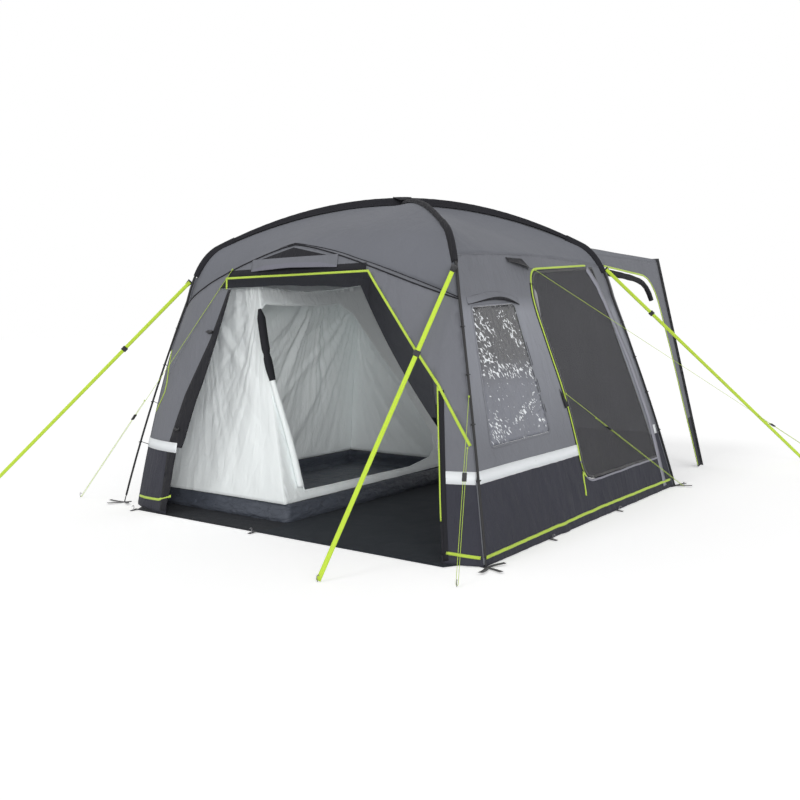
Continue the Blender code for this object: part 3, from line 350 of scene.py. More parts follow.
# The inner cloth glows a little in its own colour: painted light that lifts the bedroom's inside
INNER = fabric("inner_fabric", (0.87, 0.91, 0.91), mottle=0.04, crease=0.6, crease_size=0.05,
               crease_depth=0.015, sheen=0.0, glow=0.05)
TUB = fabric("tub_fabric", (0.074, 0.084, 0.106), roughness=0.5, crease=0.9, crease_size=0.05,
             crease_depth=0.03, coat=0.2, stretch=(0.5, 0.5, 1.6))
GROUND = fabric("ground_fabric", (0.026, 0.031, 0.038), roughness=0.62, crease=0.4, crease_size=0.25,
                stretch=(1.0, 1.0, 1.0), weave=0.004, weave_depth=0.0008, shine=0.05)
GROUND_STRIP = fabric("ground_strip_fabric", (0.026, 0.028, 0.033), roughness=0.6, crease_size=0.12,
                      stretch=(0.4, 1.0, 1.0), shine=0.05)
MESH = fabric("mesh_fabric", (0.090, 0.090, 0.097), mottle=0.3, alpha=0.52, weave=0.0025, weave_depth=0.0008)
LIME = webbing("lime_webbing", (0.58, 0.80, 0.05))
PIPE = webbing("lime_piping", (0.50, 0.68, 0.06), 0.004)
BLACK_TAPE = webbing("black_webbing", (0.020, 0.020, 0.023))
PLASTIC = moulded("black_plastic", (0.018, 0.018, 0.020))
FIBRE = moulded("glass_fibre", (0.020, 0.020, 0.022), 0.32)
LEG = moulded("painted_steel", (0.011, 0.011, 0.012), 0.55, 0.002)
STEEL = moulded("bare_steel", (0.30, 0.30, 0.31), 0.42, 0.001, 1.0)
BAND = reflective_tape()
VINYL = clear_vinyl()


# Camera at the photograph's viewing angle: its place, and its turns in degrees

CAMERA_PLACE = (3.866, -5.152, 1.276)
CAMERA_TURNS = (37.2, 5.23, -0.81)
SENSOR_WIDTH = 36.0
LENS = 40.5


def make_camera():
    data = bpy.data.cameras.new("camera")
    data.sensor_width = SENSOR_WIDTH
    data.lens = LENS
    data.clip_end = 200.0
    yaw, pitch, roll = [math.radians(value) for value in CAMERA_TURNS]
    back = Vector((math.sin(yaw) * math.cos(pitch), -math.cos(yaw) * math.cos(pitch), math.sin(pitch)))
    level = Vector((math.cos(yaw), math.sin(yaw), 0.0))
    up = back.cross(level)
    side = level * math.cos(roll) + up * math.sin(roll)
    top = -level * math.sin(roll) + up * math.cos(roll)
    made = placed("camera", data)
    made.matrix_world = Matrix.Translation(CAMERA_PLACE) @ Matrix((side, top, back)).transposed().to_4x4()
    bpy.context.scene.camera = made


# Straps and guy ropes, on the same places as in the model

STRAP_WIDTH = 0.025
STRAP_THICKNESS = 0.0016
TAB_THICKNESS = 0.0016
CORD = 0.0028
STRAND_SPACING = 0.011
PEG_LOOP = 0.012
PEG_LEAN = 0.004
PEG_NECK = 0.018
PEG_HEIGHT = 0.026
PEG_HOOK = 0.007
PEG_RADIUS = 0.0022
KNOT_REACH = 0.16
# Each strap's start, end and turn about itself in degrees
STRAPS = {
    "storm_strap_front_right": ((1.100, -1.001, 1.548), (0.950, -1.990, 0.0065), -48.0),
    "storm_strap_front_left": ((-1.120, -0.990, 1.542), (-2.580, -1.800, 0.0095), 66.0),
    "storm_strap_rear_right": ((1.100, 0.976, 1.600), (1.993, 3.050, 0.0100), -58.0),
}
# Each guy rope's start, end and the share of its way at which the runner sits
GUYS = {
    "guy_front_left": ((-0.530, -1.133, 1.600), (-1.920, -1.400, 0.004), 0.62),
    "guy_front_right": ((1.305, -1.169, 0.856), (1.550, -1.675, 0.004), 0.45),
    "guy_side_low": ((1.311, -0.085, 0.790), (1.555, 1.350, 0.004), 0.33),
    "guy_side_top": ((1.115, -0.115, 1.560), (2.410, 2.590, 0.004), 0.72),
}


def quads(rows, columns, first=0, flip=False):
    """Faces between rows of points, so many columns of faces wide, from the point numbered first."""
    wide = columns + 1
    lows = [first + r * wide + c for r in range(rows) for c in range(columns)]
    if flip:
        return [(low, low + wide, low + wide + 1, low + 1) for low in lows]
    return [(low, low + 1, low + wide + 1, low + wide) for low in lows]


def neighbours(route, number):
    """The places before and after a number on a route, or the end itself."""
    return route[max(number - 1, 0)], route[min(number + 1, len(route) - 1)]


def link_mesh(name, points, faces, finishes, uvs=None, zone=None, body=BODY):
    """A mesh piece that rides on a body. zone gives the number of a face's finish from its middle."""
    mesh = bpy.data.meshes.new(name)
    mesh.from_pydata([tuple(point) for point in points], [], [tuple(face) for face in faces])
    for finish in finishes:
        mesh.materials.append(finish)
    if zone:
        mesh.polygons.foreach_set("material_index", [zone(face.center) for face in mesh.polygons])
    mesh.shade_smooth()
    layer = mesh.uv_layers.new(name="cut")
    places = np.array(uvs if uvs is not None else [(point[0], point[2]) for point in points], float)
    order = np.zeros(len(mesh.loops), int)
    mesh.loops.foreach_get("vertex_index", order)
    layer.data.foreach_set("uv", places[order].ravel())
    made = placed(name, mesh)
    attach(made, body)
    return made


def thicken(made, thickness=CLOTH, offset=-1.0):
    modifier = made.modifiers.new("cloth_thickness", "SOLIDIFY")
    modifier.thickness = thickness
    modifier.offset = offset
    return made


def curve_piece(name, routes, radius, finish, body=BODY, sides=2, radii=None):
    """Round bars or piping along routes of points."""
    curve = bpy.data.curves.new(name, "CURVE")
    curve.dimensions = "3D"
    curve.bevel_depth = radius
    curve.bevel_resolution = sides
    curve.use_fill_caps = True
    for route in routes:
        spline = curve.splines.new("POLY")
        spline.points.add(len(route) - 1)
        for number, (point, place) in enumerate(zip(spline.points, route)):
            point.co = (*place, 1.0)
            point.radius = radii[number] if radii else 1.0
        spline.use_smooth = True
    curve.materials.append(finish)
    made = placed(name, curve)
    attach(made, body)
    return made


def straight(start, end, count):
    start = Vector(start)
    end = Vector(end)
    return [start.lerp(end, k / count) for k in range(count + 1)]


def length_of(route):
    return sum((Vector(b) - Vector(a)).length for a, b in zip(route, route[1:]))


def run_of(start, end, turn=0.0):
    """The directions along a line, across it and square to both, turned about the line by degrees."""
    run = (Vector(end) - Vector(start)).normalized()
    side = run.cross(Vector((0, 0, 1))).normalized()
    side.rotate(Quaternion(run, math.radians(turn)))
    return run, side, side.cross(run)


def make_peg(name, place, run):
    """A steel hook peg: what shows above the ground, leaning away from the pull and hooked over the line."""
    away = Vector((run.x, run.y, 0.0)).normalized()
    foot = Vector((place[0], place[1], 0.002)) + away * PEG_LEAN
    top = foot + Vector((0, 0, PEG_HEIGHT))
    points = [foot, foot + away * PEG_LEAN + Vector((0, 0, PEG_NECK)), top + away * PEG_LEAN]
    for k in range(1, 8):
        angle = math.pi * k / 7
        points.append(top + away * (PEG_LEAN - PEG_HOOK * (1 - math.cos(angle)))
                      + Vector((0, 0, PEG_HOOK * math.sin(angle))))
    return curve_piece(name, [points], PEG_RADIUS, STEEL)


def knot_points(middle, run, side, face, size):
    """A small overhand knot: two and a half turns round the line."""
    points = []
    for k in range(26):
        angle = 2 * math.pi * 2.5 * k / 25
        points.append(middle + run * (size * (k / 25 - 0.5) * 2.2)
                      + side * (size * 0.75 * math.cos(angle)) + face * (size * 0.75 * math.sin(angle)))
    return points


def make_straps():
    """Three flat tapes, each with the tab that it is sewn to and a peg."""
    half = STRAP_WIDTH / 2
    steps = 60
    for name, (start, end, turn) in STRAPS.items():
        run, side, face = run_of(start, end, turn)
        route = straight(start, end, steps)
        length = length_of([start, end])
        across = (-half, -half * 0.4, half * 0.4, half)
        points = [place + side * shift for place in route for shift in across]
        uvs = [(shift, number * length / steps) for number in range(steps + 1) for shift in across]
        strap = thicken(link_mesh(name + "_tape", points, quads(steps, 3), [LIME], uvs), STRAP_THICKNESS, 0.0)
        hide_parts(name)
        peg = make_peg(name + "_peg", end, run)
        anchor = [Vector(start) + run * along + side * shift + face * TAB_THICKNESS
                  for along, shift in ((-0.012, -0.02), (-0.012, 0.02), (0.03, -0.014), (0.03, 0.014))]
        tab = thicken(link_mesh(name + "_tab", anchor, quads(1, 1), [BLACK_TAPE]), TAB_THICKNESS, 1.0)


def make_guys():
    """Four ropes: down to the peg, round it, through the runner and up to their own knot."""
    for name, (start, end, runner_part) in GUYS.items():
        run, side, face = run_of(start, end)
        start = Vector(start)
        end = Vector(end)
        runner = start.lerp(end, runner_part)
        knot = runner - run * KNOT_REACH
        half = side * (STRAND_SPACING / 2)
        loop = []
        for k in range(1, 8):
            angle = math.pi * k / 8
            loop.append(end - run * PEG_LOOP + half * math.cos(angle) + run * (0.010 * math.sin(angle)))
        route = straight(start + half, end + half - run * PEG_LOOP, 12) + loop \
            + straight(end - half - run * PEG_LOOP, knot - half, 10)
        rope = curve_piece(name + "_rope", [route], CORD / 2, PIPE)
        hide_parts(name)
        peg = make_peg(name + "_peg", end, run)
        turns = knot_points(knot - half, run, side, face, 0.0036)
        stop = curve_piece(name + "_knot", [turns], 0.0016, PIPE)
        turns = knot_points(start + half, run, side, face, 0.0042)
        top = curve_piece(name + "_top_knot", [turns], 0.0018, PIPE)


make_camera()
make_straps()
make_guys()


# The pole's arc and the cloth under it

HALF_DIAGONAL = math.hypot(HALF_WIDTH, HALF_DEPTH)
ALONG_X = HALF_WIDTH / HALF_DIAGONAL
ALONG_Y = HALF_DEPTH / HALF_DIAGONAL


def curve_through(start, pull, end, part):
    """A point on the arc from start to end that leaves and arrives along the lines to pull."""
    rest = 1.0 - part
    return tuple(rest * rest * a + 2 * rest * part * b + part * part * c
                 for a, b, c in zip(start, pull, end))


def roof_height(s, step_down):
    """The arc's height at a distance from the middle, with the middle lowered by step_down."""
    top = APEX - step_down
    return top - (top - ROOF_END[1]) / ROOF_END[0] ** 2 * s ** 2


def roof_arc(step_down, count):
    """The arc over the roof, from the middle out."""
    outs = [ROOF_END[0] * k / count for k in range(count + 1)]
    return [(s, roof_height(s, step_down)) for s in outs]


def leg_arc(shoulder_steps, leg_steps):
    """The bent elbow and the leg, from the roof arc's end to the ground."""
    foot = (HALF_DIAGONAL, 0.0)
    points = [curve_through(ROOF_END, SHOULDER_PULL, SHOULDER_END, k / shoulder_steps)
              for k in range(1, shoulder_steps + 1)]
    points += [curve_through(SHOULDER_END, LEG_PULL, foot, k / leg_steps) for k in range(1, leg_steps + 1)]
    return points


def inset(points, distance):
    """The arc moved inwards, square to itself."""
    moved = []
    for number, (s, z) in enumerate(points):
        before, after = neighbours(points, number)
        ds = after[0] - before[0]
        dz = after[1] - before[1]
        length = math.hypot(ds, dz)
        moved.append((s + distance * dz / length, z - distance * ds / length))
    return moved


CLOTH_ARC = inset(roof_arc(POLE_CROSSING_STEP, 40) + leg_arc(20, 26), FABRIC_STANDOFF)
CLOTH_HEIGHTS = np.array([z for s, z in CLOTH_ARC][::-1])
CLOTH_REACHES = np.array([s for s, z in CLOTH_ARC][::-1])


def arc_reach(height):
    """How far out along the diagonal the cloth lies at a height."""
    return float(np.interp(height, CLOTH_HEIGHTS, CLOTH_REACHES))


def corner_draw(height):
    """How far inside its pole the cloth's front left corner hangs."""
    return CORNER_DRAW * max(1.0 - height / CORNER_DRAW_TOP, 0.0) ** 1.1


def front_limit(side, height):
    """How far out the front wall reaches at a height: side is negative on the left."""
    return ALONG_X * arc_reach(height) - (corner_draw(height) if side < 0 else 0.0)


def crumple(a, b, seed, size=0.17, depth=0.005):
    """Soft hollows and ridges of tight cloth, which run more up than across."""
    wide = noise.noise(Vector((a / size, b / (2.6 * size), seed)))
    narrow = noise.noise(Vector((a / (0.35 * size), b / (1.3 * size), seed + 9.0)))
    return depth * (wide + 0.35 * narrow)


def skirt(a, b, seed):
    """The narrow, slanting creases of the loose cloth from the band down."""
    share = min(max((BAND_HIGH + 0.12 - b) / 0.2, 0.0), 1.0)
    slant = a + 0.35 * b
    narrow = noise.noise(Vector((slant / 0.035, b / 0.22, seed + 3.0)))
    wide = noise.noise(Vector((slant / 0.09, b / 0.35, seed + 6.0)))
    return share * (0.0032 * narrow + 0.006 * wide)


def front_surface(side, height):
    """How far forward the front wall lies: flat in the middle, drawn in to the poles at its sides."""
    ratio = min(abs(side) / front_limit(side, height), 1.0)
    return mix(FRONT_HEM - 0.20 * height, ALONG_Y * arc_reach(height), ratio ** 6)


def brow_height(side):
    """The seam between the roof and the front wall, a peaked arch between the poles."""
    ratio = min(abs(side) / (ALONG_X * arc_reach(BROW_POLE_HEIGHT)), 1.0)
    return BROW_PEAK_HEIGHT - (BROW_PEAK_HEIGHT - BROW_POLE_HEIGHT) * ratio ** 1.3


def side_seam(ratio):
    return SIDE_SEAM_HEIGHT + SIDE_SEAM_RISE * (1.0 - ratio * ratio)


def free(along, limit):
    """1 away from the poles and 0 at them, where the cloth is held."""
    return 1.0 - min(abs(along) / limit, 1.0) ** 4


def front(x, z, lift=0.0):
    proud = lift + free(x, front_limit(x, z)) * (crumple(x, z, 3.1) + skirt(x, z, 3.1))
    return Vector((x, -front_surface(x, z) - proud, z))


def side_bulge(y, z, seed):
    limit = ALONG_Y * arc_reach(z)
    sag = SIDE_SAG * math.sin(math.pi * min(max(z / SIDE_SEAM_HEIGHT, 0.0), 1.0))
    return free(y, limit) * (crumple(y, z, seed) + skirt(y, z, seed) - sag)


def right(y, z, lift=0.0):
    return Vector((ALONG_X * arc_reach(z) + side_bulge(y, z, 7.7) + lift, y, z))


def left(y, z, lift=0.0):
    reach = arc_reach(z)
    draw = corner_draw(z) * min(max(0.5 - 0.5 * y / (ALONG_Y * reach), 0.0), 1.0)
    return Vector((draw - ALONG_X * reach - side_bulge(y, z, 2.2) - lift, y, z))


def rear(x, z, lift=0.0):
    proud = lift + free(x, ALONG_X * arc_reach(z)) * (crumple(x, z, 5.5) - 0.008)
    return Vector((x, ALONG_Y * arc_reach(z) + proud, z))


def tunnel_side_line(height):
    return mix(TUNNEL_FOOT_HALF, TUNNEL_TOP_HALF, height / TUNNEL_TOP)


def tunnel_edge(height):
    """Where the tunnel's side meets the rear wall."""
    return ALONG_Y * arc_reach(height) + 0.008


def tunnel_wall(y, z):
    """How far along the tunnel a place lies, from 0 to 1, and how far out its tight side wall is there."""
    part = (y - tunnel_edge(z)) / (TUNNEL_WALL_END - tunnel_edge(z))
    return part, mix(ALONG_X * arc_reach(z), tunnel_side_line(z), part)


def tunnel_right(y, z, lift=0.0):
    part, x = tunnel_wall(y, z)
    loose = math.sin(math.pi * min(max(part, 0.0), 1.0))
    return Vector((x + lift + loose * crumple(y, z, 8.8), y, z))


def tunnel_left(y, z, lift=0.0):
    place = tunnel_right(y, z, lift)
    return Vector((-place.x, place.y, place.z))


# Panels cut to an outline

def spread_along(path, spacing):
    """Points along a path, its corners kept, at most spacing apart."""
    points = []
    for start, end in zip(path, path[1:]):
        start = Vector(start)
        end = Vector(end)
        count = max(1, math.ceil((end - start).length / spacing))
        points += [start.lerp(end, k / count) for k in range(count)]
    return points + [Vector(path[-1])]


def rounded(corners, radii):
    """A closed outline with its corners rounded by an arc that starts radius before each."""
    steps = 6
    outline = []
    for number, (corner, radius) in enumerate(zip(corners, radii)):
        corner = Vector(corner)
        if not radius:
            outline.append(corner)
            continue
        before = Vector(corners[number - 1]) - corner
        after = Vector(corners[(number + 1) % len(corners)]) - corner
        start = corner + before.normalized() * radius
        end = corner + after.normalized() * radius
        outline += [Vector(curve_through(start, corner, end, k / steps)) for k in range(steps + 1)]
    return outline


def inside(points, outline):
    """Which of the points lie in the outline."""
    found = np.zeros(len(points), bool)
    ring = np.array([tuple(point) for point in outline])
    for (x0, y0), (x1, y1) in zip(ring, np.roll(ring, -1, axis=0)):
        if y0 == y1:
            continue
        crosses = (points[:, 1] < y0) != (points[:, 1] < y1)
        found ^= crosses & (points[:, 0] < (x1 - x0) * (points[:, 1] - y0) / (y1 - y0) + x0)
    return found


def patch(outline, holes=(), lines=(), spacing=0.03):
    """Triangles that fill an outline round its holes, with edges along the lines."""
    loops = [spread_along([*loop, loop[0]], spacing)[:-1] for loop in (outline, *holes)]
    points = []
    edges = []
    for loop in loops:
        first = len(points)
        points += [tuple(point) for point in loop]
        edges += [(first + k, first + (k + 1) % len(loop)) for k in range(len(loop))]
    for line in lines:
        first = len(points)
        points += [tuple(point) for point in spread_along(line, spacing)]
        edges += [(first + k, first + k + 1) for k in range(len(points) - first - 1)]
    held = np.array(points)
    low = held.min(axis=0)
    high = held.max(axis=0)
    inner = []
    for row, b in enumerate(np.arange(low[1] + spacing, high[1], spacing * 0.87)):
        shift = spacing / 2 if row % 2 else 0.0
        inner += [(a + shift, b) for a in np.arange(low[0] + spacing / 2, high[0], spacing)]
    inner = np.array(inner)
    keep = inside(inner, outline)
    for number in range(len(inner)):
        if keep[number]:
            keep[number] = np.abs(held - inner[number]).max(axis=1).min() > 0.45 * spacing
    points += [tuple(point) for point in inner[keep]]
    found = geometry.delaunay_2d_cdt([Vector(point) for point in points], edges, [], 0, 1e-5)
    places = np.array([tuple(place) for place in found[0]])
    faces = np.array(found[2])
    middles = places[faces].mean(axis=1)
    kept = inside(middles, outline)
    for hole in holes:
        kept &= ~inside(middles, hole)
    return places, faces[kept]


def panel(name, surface, outline, finishes, replaces, flat, held="stretched", holes=(), lines=(),
          flip=False, zone=None, spacing=0.03, body=BODY, thickness=CLOTH):
    """A cloth panel cut to an outline on a surface. Its flat size is not used."""
    places, faces = patch(outline, holes, lines, spacing)
    used = sorted(set(faces.ravel()))
    number_of = {old: new for new, old in enumerate(used)}
    faces = [[number_of[k] for k in face] for face in faces]
    if flip:
        faces = [face[::-1] for face in faces]
    points = [surface(*places[k]) for k in used]
    made = link_mesh(name, points, faces, finishes, places[used], zone, body)
    thicken(made, thickness)
    if replaces:
        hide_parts(*replaces)
    return made


def grid(name, place, columns, rows, finish, replaces=(), body=BODY,
         thickness=CLOTH, zone=None, offset=-1.0, size=(1.0, 1.0), closed=False):
    """A cloth piece laid on place(u, v), u and v from 0 to 1."""
    shares = [(i / columns, j / rows) for j in range(rows + 1) for i in range(columns + 1)]
    points = [Vector(place(u, v)) for u, v in shares]
    uvs = [(size[0] * u, size[1] * v) for u, v in shares]
    faces = quads(rows, columns)
    if closed:
        faces = [tuple(k - columns if k % (columns + 1) == columns else k for k in face) for face in faces]
    finishes = finish if isinstance(finish, list) else [finish]
    made = link_mesh(name, points, faces, finishes, uvs, zone, body)
    if thickness:
        thicken(made, thickness, offset)
    if replaces:
        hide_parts(*replaces)
    return made


def sewn_strip(name, surface, paths, width, finish, profile, offset, flip, body=BODY):
    """A strip sewn on a surface along each path. profile has shares of its half width, each with a height."""
    points = []
    uvs = []
    faces = []
    for path in paths:
        places = spread_along(path, 0.02)
        faces += quads(len(places) - 1, len(profile) - 1, len(points), flip)
        travelled = 0.0
        for number, place in enumerate(places):
            before, after = neighbours(places, number)
            run = (after - before).normalized()
            square = Vector((-run.y, run.x))
            if number:
                travelled += (place - before).length
            for share, height in profile:
                across = share * width / 2
                points.append(surface(place.x + square.x * across, place.y + square.y * across, height))
                uvs.append((across, travelled))
    thicken(link_mesh(name, points, faces, [finish], uvs, None, body), THIN_CLOTH, offset)


def ribbon(name, surface, path, width, finish, lift=0.0016, body=BODY):
    """A flat, narrow strip sewn on a surface along a path."""
    sewn_strip(name, surface, [path], width, finish, ((-1, lift), (1, lift)), 0.0, False, body)


ZIP_PROFILE = ((-1.0, 0.0), (-0.7, 0.7), (0.0, 1.0), (0.7, 0.7), (1.0, 0.0))


def zip_tape(name, surface, paths, finish=PIPE, width=0.015, height=0.0045):
    """A zip under its cover: a rounded strip sewn on a surface along each path."""
    profile = [(share, 0.001 + height * rise) for share, rise in ZIP_PROFILE]
    sewn_strip(name, surface, paths, width, finish, profile, -1.0, True)


def sewn_patch(name, surface, outline, finish, lift):
    """A flat piece sewn on a surface, a lift above it."""
    places, faces = patch(outline, spacing=0.025)
    points = [surface(a, b, lift) for a, b in places]
    thicken(link_mesh(name, points, faces, [finish], places), CLOTH, 0.0)


# Roof

SIDE_PEAK = SIDE_SEAM_HEIGHT + SIDE_SEAM_RISE
ROOF_SAG = 0.012
BROW_OUT = front_surface(0.0, BROW_PEAK_HEIGHT)
SECTORS = {
    "front": (ALONG_X, ALONG_Y, BROW_POLE_HEIGHT, BROW_PEAK_HEIGHT, BROW_OUT, 1.3),
    "right": (ALONG_Y, ALONG_X, SIDE_SEAM_HEIGHT, SIDE_PEAK, ALONG_X * arc_reach(SIDE_PEAK), 2.0),
    "left": (ALONG_Y, ALONG_X, SIDE_SEAM_HEIGHT, SIDE_PEAK, ALONG_X * arc_reach(SIDE_PEAK), 2.0),
    "rear": (ALONG_X, ALONG_Y, SIDE_SEAM_HEIGHT, SIDE_PEAK, ALONG_Y * arc_reach(SIDE_PEAK), 2.0),
}
CORNERS = (("front_left", -1, -1), ("front_right", 1, -1), ("rear_left", -1, 1), ("rear_right", 1, 1))


def turned(facing, side, out, height):
    """A place given by its distances across a sector and out, on the sector that faces that way."""
    ways = {"front": (side, -out), "rear": (-side, out), "right": (out, side), "left": (-out, -side)}
    return *ways[facing], height


ARC_S, ARC_Z = zip(*CLOTH_ARC)
ARC_LENGTHS = np.concatenate(([0.0], np.cumsum(np.hypot(np.diff(ARC_S), np.diff(ARC_Z)))))


def arc_at(length):
    return float(np.interp(length, ARC_LENGTHS, ARC_S)), float(np.interp(length, ARC_LENGTHS, ARC_Z))


def length_at(height):
    return float(np.interp(arc_reach(height), ARC_S, ARC_LENGTHS))


def roof_point(facing, across, length, lift=0.0):
    """A place on the roof: across from -1 to 1 between two poles, length down the pole's arc."""
    across_share, out_share, pole_height, peak_height, peak_out, curve = SECTORS[facing]
    down = length / length_at(pole_height)
    s, z = arc_at(length)
    middle = 1.0 - abs(across) ** curve
    top = CLOTH_ARC[0][1]
    middle_z = top - (top - peak_height) * down ** 1.5 - ROOF_SAG * 4 * down * (1 - down)
    out = mix(out_share * s, peak_out * down, middle)
    side = across * across_share * s
    ease = min(length / 0.3, 1.0) * (1.0 - abs(across) ** 3)
    soft = crumple(side, length, 1.3 + 2 * len(facing), 0.22, 0.006) * ease
    return Vector(turned(facing, side, out, mix(z, middle_z, middle) + soft + lift))


def make_roof():
    """The dome's cloth: four sectors sewn along the poles into one sheet."""
    columns = 30
    side_length = length_at(SIDE_SEAM_HEIGHT)
    front_length = length_at(BROW_POLE_HEIGHT)
    shared = [side_length * k / 36 for k in range(37)]
    lower = [mix(side_length, front_length, k / 6) for k in range(1, 7)]
    points = []
    faces = []
    uvs = []
    for facing in SECTORS:
        lengths = shared + (lower if facing == "front" else [])
        faces += quads(len(lengths) - 1, columns, len(points), True)
        shares = [(2 * k / columns - 1, length) for length in lengths for k in range(columns + 1)]
        points += [roof_point(facing, *share) for share in shares]
        uvs += shares
    made = link_mesh("roof_cloth", points, faces, [ROOF], uvs)
    weld(made)
    thicken(made)
    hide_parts("roof_front", "roof_right", "roof_left", "roof_rear")


def weld(made):
    work = bmesh.new()
    work.from_mesh(made.data)
    bmesh.ops.remove_doubles(work, verts=work.verts, dist=0.0001)
    work.to_mesh(made.data)
    work.free()


def make_roof_gussets():
    """The seam allowances that join the roof's edges to the tops of the four walls."""
    walls = {"front": front, "rear": rear, "right": right, "left": left}
    for facing, surface in walls.items():
        length = length_at(SECTORS[facing][2])
        share = ALONG_X if facing in ("front", "rear") else ALONG_Y
        limit = share * arc_reach(SIDE_SEAM_HEIGHT)

        def place(u, v, facing=facing, surface=surface, length=length, limit=limit):
            edge = roof_point(facing, 2 * u - 1, length)
            along = edge.x if facing in ("front", "rear") else edge.y
            top = brow_height(along) if facing == "front" else side_seam(along / limit)
            return edge.lerp(surface(along, top - 0.006), v)

        grid("roof_gusset_" + facing, place, 60, 3, WALL, size=(2.2, 0.05))


def make_roof_seams():
    across = [2 * k / 40 - 1 for k in range(41)]
    routes = {facing: [roof_point(facing, k, length_at(SECTORS[facing][2]), 0.001) for k in across]
              for facing in SECTORS}
    wall_edge = [front(point.x, brow_height(point.x) - 0.006, 0.002) for point in routes["front"]]
    curve_piece("brow_seam", [routes.pop("front"), wall_edge], BROW_SEAM, DARK)
    curve_piece("roof_seams", list(routes.values()), ROOF_SEAM, WALL)


# Poles and what holds them

def on_diagonal(s, z, x_sign, y_sign):
    return Vector((x_sign * ALONG_X * s, y_sign * ALONG_Y * s, z))


SLEEVE_HALF = 0.0135
SLEEVE_RISE = 0.0108
SLEEVE_TOP_SHARE = 1.68


def make_sleeves():
    """A sewn channel round each pole, puckered, with a flange down each side to the roof."""
    profile = ((-1.4, 0.0), (-1.0, 0.1), (-0.90, 0.8), (-0.72, 1.3), (-0.32, 1.62), (0.0, SLEEVE_TOP_SHARE),
               (0.32, 1.62), (0.72, 1.3), (0.90, 0.8), (1.0, 0.1), (1.4, 0.0))
    for name, step_down, y_sign in (("front_left_to_rear_right", 0.0, 1),
                                    ("front_right_to_rear_left", POLE_CROSSING_STEP, -1)):
        side = Vector((ALONG_X, y_sign * ALONG_Y, 0)).cross(Vector((0, 0, 1)))

        def place(u, v, step_down=step_down, side=side, y_sign=y_sign):
            s = mix(-SLEEVE_END, SLEEVE_END, v)
            pole = Vector((ALONG_X * s, y_sign * ALONG_Y * s, roof_height(s, step_down)))
            cloth = roof_height(s, POLE_CROSSING_STEP) - FABRIC_STANDOFF + 0.0015
            across, share = profile[round(u * (len(profile) - 1))]
            pucker = noise.noise(Vector((s / 0.035, across, 4.0)))
            half = SLEEVE_HALF * (1.0 + 0.05 * pucker)
            if share <= 1.0:
                height = mix(cloth, pole.z, share)
            else:
                rise = SLEEVE_RISE + 0.0012 * pucker
                height = pole.z + (share - 1.0) / (SLEEVE_TOP_SHARE - 1.0) * rise
            return Vector((pole.x, pole.y, height)) + side * (across * half)

        grid("sleeve_cloth_" + name, place, len(profile) - 1, 150, DARK, ["sleeve_" + name],
             thickness=0.001, size=(0.11, 2.4))


def make_elbow_sleeves():
    """The sleeves' ends, drawn round the elbows as far as the storm straps."""
    profile = ((-0.0200, -0.030), (-0.0140, -0.014), (-0.0132, 0.0), (-0.0095, 0.0093), (0.0, 0.0132),
               (0.0095, 0.0093), (0.0132, 0.0), (0.0140, -0.014), (0.0200, -0.030))
    for name, x_sign, y_sign in CORNERS:
        step_down = 0.0 if x_sign * y_sign > 0 else POLE_CROSSING_STEP
        arc = [point for point in roof_arc(step_down, 60) if point[0] > SLEEVE_END - 0.02]
        arc += [point for point in leg_arc(40, 20) if point[1] > 1.575]
        pole_side = Vector((-y_sign * ALONG_Y, x_sign * ALONG_X, 0.0))

        def place(u, v, arc=arc, x_sign=x_sign, y_sign=y_sign, pole_side=pole_side):
            number = round(v * (len(arc) - 1))
            across, out = profile[round(u * (len(profile) - 1))]
            before, after = neighbours(arc, number)
            run = math.hypot(after[0] - before[0], after[1] - before[1])
            tight = 1.0 - 0.12 * max(v - 0.8, 0.0) / 0.2 + 0.04 * noise.noise(Vector((v * 12, u * 2, 1.0)))
            out *= tight
            s = arc[number][0] + out * (before[1] - after[1]) / run
            z = arc[number][1] + out * (after[0] - before[0]) / run
            return on_diagonal(s, z, x_sign, y_sign) + pole_side * (across * tight)

        grid("elbow_sleeve_" + name, place, len(profile) - 1, len(arc) - 1, DARK, thickness=0.001,
             size=(0.09, 0.35))


def make_crossing_cover():
    """The patch over the crossing, pulled down over the sleeve below the upper one."""
    radius = 0.066

    def place(u, v):
        angle = 2 * math.pi * u
        x = radius * v * math.cos(angle)
        y = radius * v * math.sin(angle)
        beside = abs(x * ALONG_Y - y * ALONG_X) / radius
        along = abs(x * ALONG_X + y * ALONG_Y) / radius
        fall = 0.040 * max(beside - 0.24, 0.0) ** 1.3 + 0.0015 * along ** 4
        return x, y, APEX + 0.0152 - fall + 0.001 * math.cos(8 * angle) * v ** 3

    made = grid("crossing_patch", place, 48, 10, DARK, thickness=0, closed=True, size=(0.4, 0.066))
    weld(made)
    thicken(made, 0.0015, 1.0)
    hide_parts("crossing_cover")
    hem = [Vector(place(k / 48, 0.95)) + Vector((0, 0, 0.0010)) for k in range(49)]
    curve_piece("crossing_patch_stitching", [hem], 0.0012, BLACK_TAPE)


def corner_tape_points(x_sign, y_sign, height, wing, lift):
    """The corner seam at a height, with a wing on each of the two walls."""
    reach = arc_reach(height)
    x = front_limit(x_sign, height) if y_sign < 0 else ALONG_X * reach
    y = ALONG_Y * reach
    front_wall = front if y_sign < 0 else rear
    side_wall = right if x_sign > 0 else left
    out = Vector((x_sign * ALONG_X, y_sign * ALONG_Y, 0.25)) * lift
    return [front_wall(x_sign * (x - wing), height) + out,
            Vector((x_sign * x, y_sign * y, height)) + out,
            side_wall(y_sign * (y - wing), height) + out]


